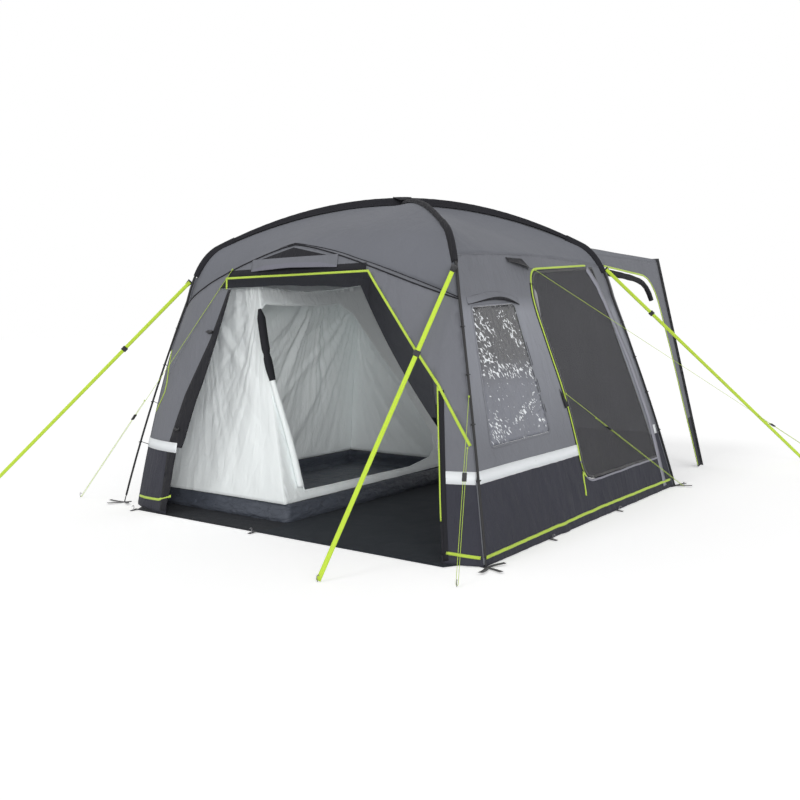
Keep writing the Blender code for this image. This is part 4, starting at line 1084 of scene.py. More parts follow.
def make_corner_tapes():
    """Webbing over the seam where two walls meet behind the leg."""
    for name, x_sign, y_sign in CORNERS:
        top = BROW_POLE_HEIGHT if y_sign < 0 else SIDE_SEAM_HEIGHT
        heights = np.linspace(HEM_HEIGHT + 0.01, top, 60)
        points = []
        uvs = []
        for height in heights:
            for across, point in zip((-1, 0, 1), corner_tape_points(x_sign, y_sign, height, 0.009, 0.0018)):
                points.append(point)
                uvs.append((across * 0.009, height))
        faces = quads(len(heights) - 1, 2)
        if x_sign * y_sign > 0:
            faces = [face[::-1] for face in faces]
        thicken(link_mesh("corner_tape_" + name, points, faces, [WALL], uvs), 0.0010, 0.0)

        def rib(u, v, x_sign=x_sign, y_sign=y_sign):
            """From the wall's corner to the leg, where the two run close together."""
            s, z = leg_place(mix(1.06, 1.58, v))
            wall = on_diagonal(arc_reach(z), z, x_sign, y_sign)
            return wall.lerp(on_diagonal(s - 0.004, z, x_sign, y_sign), u)

        grid("corner_rib_" + name, rib, 1, 24, WALL, thickness=0.001, offset=0.0, size=(0.01, 0.5))


def leg_place(height):
    arc = roof_arc(0.0, 30) + leg_arc(20, 60)
    return min(arc, key=lambda point: abs(point[1] - height))


def make_leg_clips():
    """More clips up each leg, with the short webbing that hangs the wall on them."""
    heights = (0.72, 0.98, 1.22)
    for name, x_sign, y_sign in CORNERS:
        inwards = Vector((-x_sign * ALONG_X, -y_sign * ALONG_Y, 0.0))
        sideways = Vector((0, 0, 1)).cross(inwards)
        for number, height in enumerate(heights):
            s, z = leg_place(height)
            pole = on_diagonal(s, z, x_sign, y_sign)
            angles = [math.radians(-140 + 20 * k) for k in range(15)]
            ring = [pole + (sideways * math.sin(angle) - inwards * math.cos(angle)) * CLIP_RADIUS
                    for angle in angles]
            curve_piece("leg_hook_%s_%d" % (name, number), [ring], CLIP_WIRE_RADIUS, PLASTIC)
        for number, height in enumerate((CLIP_HEIGHT, *heights)):
            s, z = leg_place(height)
            pole = on_diagonal(s, z, x_sign, y_sign)
            wall = on_diagonal(arc_reach(z), z, x_sign, y_sign)
            if name == "front_left":
                wall.x += corner_draw(z)
            width = sideways * 0.008
            start = pole + inwards * 0.009
            points = [start + width, start - width, wall - width * 1.4 - Vector((0, 0, 0.012)),
                      wall + width * 1.4 - Vector((0, 0, 0.012))]
            thicken(link_mesh("leg_tab_%s_%d" % (name, number), points, [(0, 1, 2, 3)], [BLACK_TAPE]),
                    0.0016, 0.0)


def make_foot_straps():
    """Webbing tails that cross under each foot and curl at their ends."""
    tails = ((0.45, 0.17, 0.035), (-0.5, 0.15, 0.045), (1.9, 0.12, 0.055))
    for name, x_sign, y_sign in CORNERS:
        foot = Vector((x_sign * HALF_WIDTH, y_sign * HALF_DEPTH, 0.0))
        out_angle = math.atan2(y_sign, x_sign)
        for number, (turn, length, shift) in enumerate(tails):
            run = Vector((math.cos(out_angle + turn), math.sin(out_angle + turn), 0.0))
            side = Vector((-run.y, run.x, 0.0))
            points = []
            uvs = []
            for k in range(25):
                part = k / 24
                along = shift + length * (part - 0.5)
                curl = 0.030 * max(part - 0.55, 0.0) ** 1.5
                wave_up = 0.0012 + 0.0015 * number + 0.0035 * (1 - math.cos(6 * part)) * part
                for across in (-0.012, 0.0, 0.012):
                    points.append(foot + run * along + side * (across + 0.008 * math.sin(3 * part))
                                  + Vector((0, 0, wave_up + curl)))
                    uvs.append((across, length * part))
            tail = link_mesh("foot_tail_%s_%d" % (name, number), points, quads(24, 2), [BLACK_TAPE], uvs)
            thicken(tail, 0.0020)
        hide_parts("foot_strap_" + name)


# Walls

def diagonal_side(height):
    slope = (DOOR_TOP - DIAGONAL_END[1]) / (DIAGONAL_END[0] - DOOR_TOP_HALF)
    return DOOR_TOP_HALF + (DOOR_TOP - height) / slope


def below_band(middle):
    """The number of a face's finish: 0 down to the band and 1 below it."""
    return int(middle.z < BAND_LOW)


def wall_cloth(node, surface, outline, flat, finish=WALL, lines=(BAND_LINE,), **more):
    """A wall's cloth, with a darker skirt from the band down."""
    panel(node + "_cloth", surface, outline, [finish, SKIRT], [node], flat, lines=lines,
          zone=below_band, **more)


def front_edge(sign, low, high, count=24):
    """The front wall's side along its pole, from low to high."""
    return [(sign * front_limit(sign, z), float(z)) for z in np.linspace(low, high, count + 1)]


def diagonal_end():
    """The height at which the left diagonal seam meets the front wall's side."""
    heights = np.linspace(0.4, 1.2, 801)
    misses = [abs(diagonal_side(z) - front_limit(-1, z)) for z in heights]
    return float(heights[int(np.argmin(misses))])


def make_front_walls():
    limit = ALONG_X * arc_reach(BROW_POLE_HEIGHT)
    brow = [(float(x), brow_height(float(x))) for x in np.linspace(limit, -limit, 61)]
    right_end = DIAGONAL_FOOT[1]
    left_end = diagonal_end()
    gable = front_edge(1, right_end, BROW_POLE_HEIGHT)[:-1] + brow \
        + front_edge(-1, left_end, BROW_POLE_HEIGHT)[::-1][1:] \
        + [(-DOOR_TOP_HALF, DOOR_TOP), (DOOR_TOP_HALF, DOOR_TOP), DOOR_KNEE]
    panel("front_gable_cloth", front, gable, [WALL], ["front_gable"], (3.2, 0.36))
    low_right = [(DOOR_FOOT_HALF, HEM_HEIGHT)] + front_edge(1, HEM_HEIGHT, right_end) + [DOOR_KNEE]
    wall_cloth("front_wall_right", front, low_right, (0.3, 0.98), spacing=0.014)
    low_left = [(-DOOR_LEFT_FOOT, HEM_HEIGHT), (-DOOR_LEFT_KNEE[0], DOOR_LEFT_KNEE[1]),
                (-DOOR_LEFT_TOP[0], DOOR_LEFT_TOP[1]), (-diagonal_side(DOOR_LEFT_TOP[1]), DOOR_LEFT_TOP[1])] \
        + front_edge(-1, HEM_HEIGHT, left_end)[::-1]
    wall_cloth("front_wall_left", front, low_left, (0.8, 1.55), spacing=0.020)
    for name, start, end, lift in (
            ("front_band_right", 1.216, front_limit(1, BAND_MIDDLE) - 0.004, 0.0016),
            ("front_band_left", 0.004 - front_limit(-1, BAND_MIDDLE), -0.882, 0.0065)):
        ribbon(name, front, [(start, BAND_MIDDLE), (end, BAND_MIDDLE)], BAND_WIDTH, BAND, lift)


def make_front_trim():
    """Zips round the front door, the dark flaps beside them, with painted shadow in the top flap's strip, and
    the hems.
    """
    knee = DOOR_KNEE
    zip_tape("front_door_zips", front, [
        [(-DOOR_TOP_HALF, DOOR_TOP), (DOOR_TOP_HALF, DOOR_TOP), knee, DIAGONAL_FOOT],
        [(-DOOR_TOP_HALF + 0.008, DOOR_TOP), (-0.575, 1.475)],
    ])
    zip_tape("front_door_slider_zip", front, [[(knee[0] + 0.001, knee[1] - 0.006), (1.241, 0.215)]],
             height=0.0015)
    zip_tape("front_door_zip_foot", front, [[(1.241, 0.215), (DOOR_FOOT_HALF, 0.05)]], DARK)
    zip_tape("front_left_zip", front, [[(-1.200, 1.073), (-1.169, 0.965), (-1.145, 0.851), (-1.155, 0.79),
                                        (-1.201, 0.731), (-1.280, 0.648)]], width=0.011)
    zip_tape("front_hems", front, [[(DOOR_FOOT_HALF + 0.018, 0.060), (1.462, 0.046)],
                                   [(-0.885, 0.125), (-1.02, 0.086), (-1.335, 0.066)]], width=0.017)
    # A black strip above the door's top zip: partly the flap over the zip, partly painted shadow under it
    ribbon("front_door_top_flap_painted_shadow", front, [(-0.57, 1.572), (0.58, 1.572)], 0.042, DARK, 0.002)
    upright = [(knee[0] + 0.020, knee[1] - 0.03), (DOOR_FOOT_HALF + 0.020, 0.02)]
    ribbon("front_door_right_flap", front, upright, 0.030, DARK, 0.002)
    flap = [(-0.530, 1.470), (-0.605, 1.170), (-0.690, 0.880), (-0.735, 0.760), (-0.815, 0.480),
            (-0.830, 0.442), (-0.882, 0.440), (-0.905, 0.147), (-0.925, 0.02), (-0.99, 0.02),
            (-0.985, 0.45), (-0.865, 0.79), (-0.765, 0.98), (-0.673, 1.161), (-0.556, 1.470)]
    sewn_patch("front_door_left_flap", front, flap[::-1], DARK, 0.004)


def offset(outline, distance):
    """A closed outline moved inwards by a distance, or outwards where it is negative."""
    ring = [Vector(point) for point in outline]
    area = sum(a.x * b.y - b.x * a.y for a, b in zip(ring, ring[1:] + ring[:1]))
    turn = 1.0 if area > 0 else -1.0
    moved = []
    for number, point in enumerate(ring):
        run = (ring[(number + 1) % len(ring)] - ring[number - 1]).normalized()
        moved.append(point + Vector((-run.y, run.x)) * (turn * distance))
    return moved


SIDE_DOOR = rounded([(-0.036, 0.240), (-0.030, 0.70), (-0.155, 1.36), (-0.120, 1.560), (0.812, 1.614),
                     (1.143, 0.240)], [0.13, 0.25, 0.12, 0.09, 0.0, 0.0])
WINDOW = rounded(WINDOW_CORNERS, [0.03] * 4)


def wall_outline(share):
    """A side wall between two poles, from hem to seam."""
    far = [(share * arc_reach(z), float(z)) for z in np.linspace(HEM_HEIGHT, SIDE_SEAM_HEIGHT, 25)]
    near = [(-out, z) for out, z in far]
    top = [(far[-1][0] * k / 20, side_seam(k / 20)) for k in range(19, -20, -1)]
    return near[:1] + far + top + near[:0:-1]


def make_side_walls():
    wall_cloth("side_wall_right", right, wall_outline(ALONG_Y), (2.64, 1.72), WALL_SIDE_PAINTED_HIGHLIGHT,
               holes=[WINDOW, SIDE_DOOR], spacing=0.018)
    wall_cloth("side_wall_left", left, wall_outline(ALONG_Y), (2.64, 1.72), flip=True, spacing=0.035)
    doorway = rounded([(-REAR_DOOR_HALF, REAR_DOOR_SILL), (REAR_DOOR_HALF, REAR_DOOR_SILL),
                       (0.54, REAR_DOOR_TOP), (-0.54, REAR_DOOR_TOP)], [0.2, 0.2, 0.08, 0.08])
    wall_cloth("rear_wall", rear, wall_outline(ALONG_X), (2.97, 1.72), holes=[doorway], flip=True,
               spacing=0.035)
    zip_tape("rear_doorway_piping", rear, [[*doorway, doorway[0]]], PALE, 0.012)
    for name, surface, start, end in (
            ("side_band_front", right, -1.222, -0.045), ("side_band_rear", right, 1.14, 1.215),
            ("left_band", left, -1.215, 1.215),
            ("rear_band_right", rear, 0.62, 1.37), ("rear_band_left", rear, -1.37, -0.62)):
        ribbon(name, surface, [(start, BAND_MIDDLE), (end, BAND_MIDDLE)], BAND_WIDTH, BAND)
    zip_tape("side_hem_right", right, [[(-1.30, 0.046), (0.2, 0.062), (1.28, 0.058)]], width=0.018)
    zip_tape("side_hem_left", left, [[(-1.29, 0.055), (1.28, 0.055)]], width=0.018)


def make_window():
    lines = [[(-1.2, z), (0.0, z)] for z in (0.7, 0.95, 1.2)]
    panel("side_window_vinyl", right, offset(WINDOW, 0.001), [VINYL], ["side_window"], (0.70, 0.90),
          lines=lines, spacing=0.025, thickness=THIN_CLOTH)
    seam = offset(WINDOW, -0.006)
    ribbon("side_window_seam", right, [*seam, seam[0]], 0.012, WALL_SIDE_PAINTED_HIGHLIGHT, 0.0014)
    (low_y, low_z), (high_y, high_z) = WINDOW_CORNERS[1:3]
    for number, heights in enumerate(((0.98, 1.12), (0.82, 0.90), (0.70, 0.75))):
        edge = [(mix(low_y, high_y, (z - low_z) / (high_z - low_z)) + 0.012, z) for z in heights]
        ribbon("side_window_edge_%d" % number, right, edge, 0.005, DARK, 0.0024)

    def hood(u, v):
        arch = 0.036 * math.sin(math.pi * u ** 1.2)
        y = mix(*WINDOW_HOOD_ENDS, u)
        z = mix(*WINDOW_HOOD_HEIGHTS, v) + arch
        return right(y, z, 0.0008 + 0.022 * (1.0 - v) * math.sin(math.pi * mix(0.06, 0.94, u)))

    grid("window_hood_cloth", hood, 30, 8, WALL_SIDE_PAINTED_HIGHLIGHT, ["window_hood"], size=(0.58, 0.05))
    # A black tube along the hood's lower edge, thickest in the middle: painted shadow under the hood
    edge = [Vector(hood(k / 30, 0.0)) for k in range(31)]
    radii = [0.25 + math.sin(math.pi * (k / 30) ** 1.6) for k in range(31)]
    curve_piece("window_hood_painted_shadow", [edge], 0.0075, DARK, radii=radii)


def make_side_door():
    """The mesh leaf with its zip, and the piping round its hole."""
    leaf = offset(SIDE_DOOR, 0.005)
    panel("side_door_mesh", right, leaf, [MESH], ["side_door"], (1.27, 1.45), spacing=0.03,
          body="side_door", thickness=THIN_CLOTH)
    rim = offset(SIDE_DOOR, 0.014)
    ribbon("side_door_zip", right, [*rim, rim[0]], 0.016, BLACK_TAPE, 0.001, "side_door")
    outer = offset(SIDE_DOOR, -0.008)
    top_right = max(range(len(outer)), key=lambda k: outer[k].x + outer[k].y)
    upright = [point for point in outer[3:top_right + 1] if point.x < 0.75]
    route = [Vector((-0.074, 0.161)), Vector((-0.050, 0.30))] + upright + [Vector((0.70, 1.620))]
    zip_tape("side_door_piping", right, [route], width=0.014)
    dark = [point + Vector((-0.013, 0.0)) for point in route[1:-1] if point.y < 1.50]
    ribbon("side_door_zip_flap", right, dark, 0.012, DARK, 0.0014)
    low = [point for point in outer if point.y < 0.40]
    low.sort(key=lambda point: point.x - 2.0 * point.y if point.x < 0.15 else point.x)
    zip_tape("side_door_lower_piping", right, [low], PALE, 0.014)
    strip = [(0.706, 1.600), (0.811, 1.485), (0.873, 1.38), (1.032, 0.956), (1.136, 0.532), (1.166, 0.03)]
    ribbon("side_door_hinge_strip", right, strip, 0.055, PALE, 0.0035)
    tab = [(-0.115, 0.822), (-0.100, 0.700), (-0.040, 0.712)]
    sewn_patch("side_door_black_tab", right, tab, DARK, 0.007)


def make_vents():
    half = FRONT_VENT_HALF

    def rows_at(x):
        """The heights of the hood's edge, strip, mesh and hinge at a distance x from the middle."""
        low = 1.588 - 0.03 * abs(x)
        strip = low + 0.030 - 0.020 * max(abs(x) - 0.24, 0.0) / 0.12
        mesh_low = 1.652
        mesh_high = max(1.712 - 0.215 * abs(x), mesh_low + 0.001)
        high = max(BROW_PEAK_HEIGHT - 0.016 - 0.26 * abs(x) ** 1.15, mesh_high + 0.001)
        return low, strip, mesh_low, mesh_high, high

    def hood(u, v):
        x = mix(-half, half, u)
        rows = rows_at(x)
        number = min(int(v * 4 + 0.0001), 3)
        z = mix(rows[number], rows[number + 1], v * 4 - number)
        lift = 0.0045 + 0.035 * (1.0 - v) * (1.0 - (abs(x) / half) ** 2)
        return x, -front_surface(x, z) - lift, z

    def row_part(middle):
        low, strip, mesh_low, mesh_high, high = rows_at(middle.x)
        if middle.z < strip:
            return 1
        return 0 if mesh_low < middle.z < mesh_high and abs(middle.x) < 0.285 else 2

    grid("front_vent_cloth", hood, 72, 16, [DARK, VENT_STRIP, WALL], ["front_vent_hood"],
         body="front_vent_hood", zone=row_part, size=(0.72, 0.16))

    def side(u, v):
        y = mix(*SIDE_VENT_ENDS, u)
        low = 1.63 - 0.065 * mix(0.35, 1.0, u)
        high = 1.63 - 0.055 * max(u - 0.75, 0.0) / 0.25
        z = mix(low, max(high, low + 0.002), v)
        lift = 0.0045 + 0.035 * (1.0 - v) * math.sin(math.pi * mix(0.1, 0.9, u))
        return ALONG_X * arc_reach(z) + lift, y, z

    grid("side_vent_cloth", side, 20, 8, DARK, ["side_vent_hood"], body="side_vent_hood",
         size=(0.26, 0.06))
    edge = [side(k / 20, 0.0) for k in range(21)]
    curve_piece("side_vent_edge", [edge], 0.002, BLACK_TAPE, "side_vent_hood")


# Tunnel

def tunnel_outline():
    near = [(tunnel_edge(float(z)), float(z)) for z in np.linspace(HEM_HEIGHT, TUNNEL_TOP - 0.02, 25)]
    return [(TUNNEL_WALL_END, HEM_HEIGHT), (TUNNEL_WALL_END, TUNNEL_TOP - 0.02)] + near[::-1]


def tunnel_doorway():
    """The tunnel's side door, wide open: a D down to the ground with its top corner rounded."""
    outline = [(ALONG_Y * arc_reach(0.0) + 0.07, -0.05),
               (ALONG_Y * arc_reach(TUNNEL_DOOR_TOP) + 0.10, TUNNEL_DOOR_TOP)]
    return outline + list(TUNNEL_DOOR_EDGE)


def rear_roof_height(ratio):
    lengths = [length_at(SIDE_SEAM_HEIGHT) * k / 100 for k in range(60, 101)]
    points = [roof_point("rear", -ratio * 0.98, length) for length in lengths]
    return min(points, key=lambda point: abs(point.y - TUNNEL_ROOF_START)).z


def make_tunnel():
    starts = [rear_roof_height(2 * k / 30 - 1) for k in range(31)]

    def roof(u, v):
        ratio = 2 * u - 1
        start = starts[round(u * 30)]
        sag = 0.02 * math.sin(math.pi * v) * (1 - ratio ** 2)
        soft = crumple(ratio, v, 6.1, 0.2, 0.006) * math.sin(math.pi * v)
        return (ratio * (TUNNEL_TOP_HALF - 0.005), mix(TUNNEL_ROOF_START, TUNNEL_WALL_END, v),
                mix(start + 0.012, TUNNEL_TOP, v) - sag + soft)

    grid("tunnel_roof_cloth", roof, 30, 30, ROOF, ["tunnel_roof"], size=(1.86, 1.5))

    def gusset(u, v, sign=1):
        """Between the side wall's top and the roof's edge."""
        y = mix(tunnel_edge(TUNNEL_TOP), TUNNEL_WALL_END, u)
        low = (tunnel_right if sign > 0 else tunnel_left)(y, TUNNEL_TOP - 0.022)
        along = (y - TUNNEL_ROOF_START) / (TUNNEL_WALL_END - TUNNEL_ROOF_START)
        high = Vector(roof(1.0 if sign > 0 else 0.0, along))
        return low.lerp(high, v) + Vector((0, 0, 0.004 * v))

    grid("tunnel_gusset_right", gusset, 30, 4, ROOF, size=(1.4, 0.1))
    grid("tunnel_gusset_left", lambda u, v: gusset(u, v, -1), 30, 4, ROOF, size=(1.4, 0.1), offset=1.0)
    door = tunnel_doorway()
    wall_cloth("tunnel_side_right", tunnel_right, tunnel_outline(), (4.2, 0.28), lines=(TUNNEL_BAND_LINE,),
               holes=[door], spacing=0.025)
    wall_cloth("tunnel_side_left", tunnel_left, tunnel_outline(), (1.35, 1.73), lines=(TUNNEL_BAND_LINE,),
               flip=True, spacing=0.035)
    edge = offset(door, -0.006)
    zip_tape("tunnel_door_piping", tunnel_right, [edge[1:-1] + [Vector((edge[-1].x, 0.02))]], width=0.016)
    half = 0.019
    top = TUNNEL_TOP + 0.012
    outer = [(-TUNNEL_FOOT_HALF - half, 0.002), (-TUNNEL_TOP_HALF - half, top),
             (TUNNEL_TOP_HALF + half, top), (TUNNEL_FOOT_HALF + half, 0.002)]
    inner = [(TUNNEL_FOOT_HALF - half, 0.002), (TUNNEL_TOP_HALF - half, top - 0.038),
             (-TUNNEL_TOP_HALF + half, top - 0.038), (-TUNNEL_FOOT_HALF + half, 0.002)]
    panel("tunnel_end_tape", lambda x, z: Vector((x, TUNNEL_END + 0.0015, z)), outer + inner, [BLACK_TAPE],
          ["tunnel_end_webbing"], (5.3, 0.12), spacing=0.019, flip=True, thickness=0.003)
    make_roll("tunnel_door_roll", tunnel_roll_route(), TUNNEL_ROLL_RADIUS, DARK, 7)


def tunnel_roll_route():
    """Along the open door's top and round its corner, inside the tunnel's wall."""
    return [(tunnel_wall(y, z)[1] - TUNNEL_ROLL_STANDOFF, y, z) for y, z in spread_along(TUNNEL_ROLL, 0.03)]


def make_roll(node, route, radius, finish, turns):
    """A door of cloth rolled up: a spiral of turns that runs along route, loose here and there."""
    steps = turns * 12
    points = []
    uvs = []
    route = [Vector(place) for place in route]
    for number, place in enumerate(route):
        before, after = neighbours(route, number)
        run = (after - before).normalized()
        side = run.cross(Vector((0.3, 0.2, 1.0))).normalized()
        up = side.cross(run)
        part = number / (len(route) - 1)
        loose = 1.0 + 0.10 * noise.noise(Vector((part * 9, radius * 40, 2.0)))
        for k in range(steps + 1):
            angle = 2 * math.pi * k / 12
            out = mix(0.18, 1.0, k / steps) * radius * loose * (1 - ROLL_TAPER * part)
            points.append(place + side * (out * math.cos(angle)) + up * (out * math.sin(angle)))
            uvs.append((k / steps * math.pi * radius * 1.18 * turns, part))
    made = link_mesh(node + "_cloth", points, quads(len(route) - 1, steps), [finish], uvs)
    thicken(made, 0.0007, 0.0)
    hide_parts(node)


# Ground. The front left part of the sheet, up to this corner, has its own finish

STRIP_CORNER = (-0.04, -1.175)


def make_groundsheet():
    side = HALF_WIDTH - 0.065
    outline = [(GROUNDSHEET_FRONT_LEFT, -1.23), (-1.21, -FRONT_HEM), (1.31, -FRONT_HEM), (side, -1.23),
               (side, HALF_DEPTH - 0.075), (-side, HALF_DEPTH - 0.075)]

    def place(x, y):
        ripple = 0.5 + 0.5 * noise.noise(Vector((x / 0.30, y / 0.22, 1.0)))
        return Vector((x, y, 0.0018 + 0.0016 * ripple))

    x, y = STRIP_CORNER
    panel("groundsheet_cloth", place, outline, [GROUND, GROUND_STRIP], ["groundsheet"], (2.87, 2.7),
          held="laid", spacing=0.05, lines=[[(-1.5, y), (x, y)], [(x, y), (x, -1.5)]],
          zone=lambda middle: int(middle.y < y and middle.x < x))


# Bedroom

def inner_corner(at_right, at_rear, part):
    """A bedroom corner seam from the ground to the roof: part from 0 to 1."""
    low_x = INNER_RIGHT if at_right else INNER_LEFT
    high_x = INNER_TOP_RIGHT if at_right else INNER_TOP_LEFT
    low_y = INNER_REAR if at_rear else INNER_FRONT
    high_y = INNER_TOP_REAR if at_rear else INNER_TOP_FRONT
    rise = 0.0
    if at_right and at_rear:
        high_x, high_y, rise = INNER_PEAK
    bow = math.sin(math.pi * part)
    x = mix(low_x, high_x, part) + (-INNER_DRAW if at_right else INNER_DRAW_LEFT) * bow
    y = mix(low_y, high_y, part) + (-INNER_DRAW if at_rear else INNER_DRAW) * bow
    return Vector((x, y, mix(0.0, INNER_TOP, part) + rise * part ** 6))


TOP_SAG = 0.036
TUB_RIM_HEIGHT = 0.111
TUB_FLOOR_INSET = 0.07
BEDROOM_ROLL_LOW = 0.20
BEDROOM_ROLL_HIGH = 1.28
# Where a bedroom wall hangs, as shares of its width and height
TOP_PULLS = ((0.0, 1.0), (1.0, 1.0))
LEFT_PULLS = ((0.0, 1.0), (0.3, 1.1))


def fan(u, v, seed, width, pulls=TOP_PULLS):
    """Folds that fan out from where the cloth hangs, strongest near there."""
    total = 0.0
    for number, (at_u, at_v) in enumerate(pulls):
        across = (u - at_u) * width
        down = (at_v - v) * INNER_TOP
        reach = math.hypot(across, down)
        angle = math.atan2(across, down + 0.02)
        swing = noise.noise(Vector((angle * 8.0, reach * 0.6, seed + number)))
        sharp = noise.noise(Vector((angle * 21, reach * 0.8, seed + number + 5)))
        total += (swing + 0.55 * sharp) * min(reach / 0.15, 1.0) * math.exp(-reach / 1.1)
    return total


def make_bedroom():
    low = TUB_RIM_HEIGHT / INNER_TOP
    high = 1.0 - 0.004 / INNER_TOP

    def wall(first, second, inward, seed, width, depth, pulls=TOP_PULLS):
        def place(u, v):
            part = mix(low, high, v)
            a = inner_corner(*first, part)
            b = inner_corner(*second, part)
            held = math.sin(math.pi * u) ** 0.5 if 0 < u < 1 else 0.0
            slack = 0.020 * math.sin(math.pi * u) * math.sin(math.pi * part)
            soft = 0.010 * noise.noise(Vector((u * width / 0.13, v * 1.2, seed))) * (1 - 0.5 * v)
            fold = (depth * fan(u, v, seed, width, pulls) + soft) * held * min(v / 0.06, 1.0)
            return a.lerp(b, u) + Vector(inward) * (slack + fold)
        return place

    for name, surface, columns, rows, flat, wide in (
            ("front", wall((False, False), (True, False), (0, 1, 0), 2.0, 1.27, 0.022),
             110, 60, (1.30, 1.40), 1.27),
            ("rear", wall((True, True), (False, True), (0, -1, 0), 3.0, 1.27, 0.055),
             100, 50, (1.30, 1.42), 1.27),
            ("left", wall((False, True), (False, False), (1, 0, 0), 4.0, 2.1, 0.070, LEFT_PULLS),
             150, 60, (2.15, 1.47), 2.1)):
        grid("bedroom_%s_cloth" % name, surface, columns, rows, INNER, ["bedroom_" + name],
             size=(wide, 1.4))

    def side(y, z, lift=0.0):
        part = z / INNER_TOP
        corner = inner_corner(True, False, part)
        far = inner_corner(True, True, part)
        span = far.y - corner.y
        u = min(max((y - corner.y) / span, 0.0), 1.0)
        fold = 0.028 * fan(u, part, 6.0, span) * math.sin(math.pi * u)
        sag = TOP_SAG * math.sin(math.pi * u) * part ** 4
        return Vector((mix(corner.x, far.x, u) + fold + lift, y, z - sag + INNER_PEAK[2] * u * part ** 6))

    outline = []
    for at_rear, parts in ((False, np.linspace(high, low, 20)), (True, np.linspace(low, high, 20))):
        outline += [(inner_corner(True, at_rear, float(part)).y, float(part) * INNER_TOP) for part in parts]
    doorway = [(-0.93, 0.17), (-0.955, 1.33), (-0.89, 1.375), (0.04, 1.385), (0.19, 1.30),
               (0.515, 0.787), (0.644, 0.457), (0.671, 0.349), (0.619, 0.251), (0.514, 0.193), (0.222, 0.160)]
    panel("bedroom_door_side_cloth", side, outline, [INNER], ["bedroom_door_side"], (6.6, 0.26),
          "hung", holes=[doorway], spacing=0.028)
    rim = offset(doorway, -0.006)
    zip_route = [side(place.x, place.y, 0.002) for place in spread_along([*rim, rim[0]], 0.03)]
    curve_piece("bedroom_door_zip", [zip_route], 0.004, INNER)

    def top(u, v):
        x = mix(INNER_TOP_LEFT, mix(INNER_TOP_RIGHT, INNER_PEAK[0], v), u)
        y = mix(INNER_TOP_FRONT, mix(INNER_TOP_REAR, INNER_PEAK[1], u), v)
        rise = 0.03 * math.sin(math.pi * u) * math.sin(math.pi * v)
        sag = TOP_SAG * math.sin(math.pi * v) * u ** 2
        gather = 0.006 * noise.noise(Vector((y / 0.03, x / 0.4, 1.0))) * u ** 4
        soft = rise * (1 + 0.3 * noise.noise(Vector((x / 0.1, y / 0.15, 3.3))))
        return x, y, INNER_TOP + 0.002 + soft - sag + gather + INNER_PEAK[2] * u * v

    grid("bedroom_roof_cloth", top, 24, 120, INNER, ["bedroom_roof"], size=(0.50, 1.65))
    make_tub()
    route = [roll_place(mix(BEDROOM_ROLL_LOW, BEDROOM_ROLL_HIGH, k / 48)) for k in range(49)]
    make_roll("bedroom_door_roll", route, 0.024, INNER, 5)
    heights = [mix(0.88, 1.345, k / 32) for k in range(33)]
    radii = [(1.0 - 0.22 * math.exp(-((z - 1.05) / 0.02) ** 2)) * min(1.0, 0.75 + 1.5 * k / 32)
             * min(1.0, (1.385 - z) / 0.10) for k, z in enumerate(heights)]
    curve_piece("bedroom_roll_wrap", [[roll_place(z) for z in heights]], 0.0275, DARK, sides=4, radii=radii)


def roll_place(z):
    """The middle of the rolled door at a height, along the front edge of the bedroom's door side."""
    lean = (INNER_RIGHT - INNER_TOP_RIGHT) / INNER_TOP
    x = INNER_RIGHT - lean * z + 0.028 - INNER_DRAW * math.sin(math.pi * z / INNER_TOP)
    share = min(max((z - BEDROOM_ROLL_LOW) / (BEDROOM_ROLL_HIGH - BEDROOM_ROLL_LOW), 0.0), 1.0)
    return x, -0.985 + 0.015 * math.sin(2 * math.pi * share), z


TUB_CORNERS = ((INNER_LEFT, INNER_FRONT), (INNER_RIGHT, INNER_FRONT), (INNER_RIGHT, INNER_REAR),
               (INNER_LEFT, INNER_REAR))


def make_tub():
    """The bedroom's floor: a tray whose soft rim stands up all round."""
    ring = rounded(TUB_CORNERS, [0.05] * 4)
    ring = spread_along([*ring, ring[0]], 0.03)[:-1]
    profile = ((0.004, 0.0032), (0.010, 0.030), (0.006, 0.065), (-0.002, 0.100), (-0.007, 0.109),
               (-0.013, 0.106), (-0.018, 0.080), (-0.022, 0.035), (-0.036, 0.012), (-0.075, 0.0065))
    count = len(ring)

    def place(u, v):
        """The rim's cloth at a share round the tub and a share across its profile, with soft dents."""
        number = round(u * count) % count
        point = ring[number]
        run = (ring[(number + 1) % count] - ring[number - 1]).normalized()
        outward = Vector((run.y, -run.x))
        out, z = profile[round(v * (len(profile) - 1))]
        soft = 0.009 * noise.noise(Vector((point.x / 0.11, point.y / 0.11, z / 0.07)))
        drawn = point + (Vector(INNER_MIDDLE) - point) * (z / INNER_TOP * 0.55)
        moved = drawn + outward * (out + (soft if 0.01 < z < 0.1 else 0.0))
        return moved.x, moved.y, z

    grid("bedroom_tub_rim", place, count, len(profile) - 1, TUB, ["bedroom_floor_tub"],
         closed=True, size=(6.7, 0.3))
    low = [(x - math.copysign(TUB_FLOOR_INSET, x - INNER_MIDDLE[0]),
            y - math.copysign(TUB_FLOOR_INSET, y - INNER_MIDDLE[1])) for x, y in TUB_CORNERS]

    def floor(x, y):
        return Vector((x, y, 0.0062 + 0.0015 * noise.noise(Vector((x / 0.2, y / 0.2, 0)))))

    panel("bedroom_floor_cloth", floor, low, [TUB], [], (1.14, 1.99), held="laid", spacing=0.05)


# Small things

def finish_node(name, finish):
    """Keeps a CAD node's shape and gives it a finish."""
    node = NODES[name]
    if not node.material_slots:
        node.data.materials.append(finish)
    for slot in node.material_slots:
        slot.link = "OBJECT"
        slot.material = finish


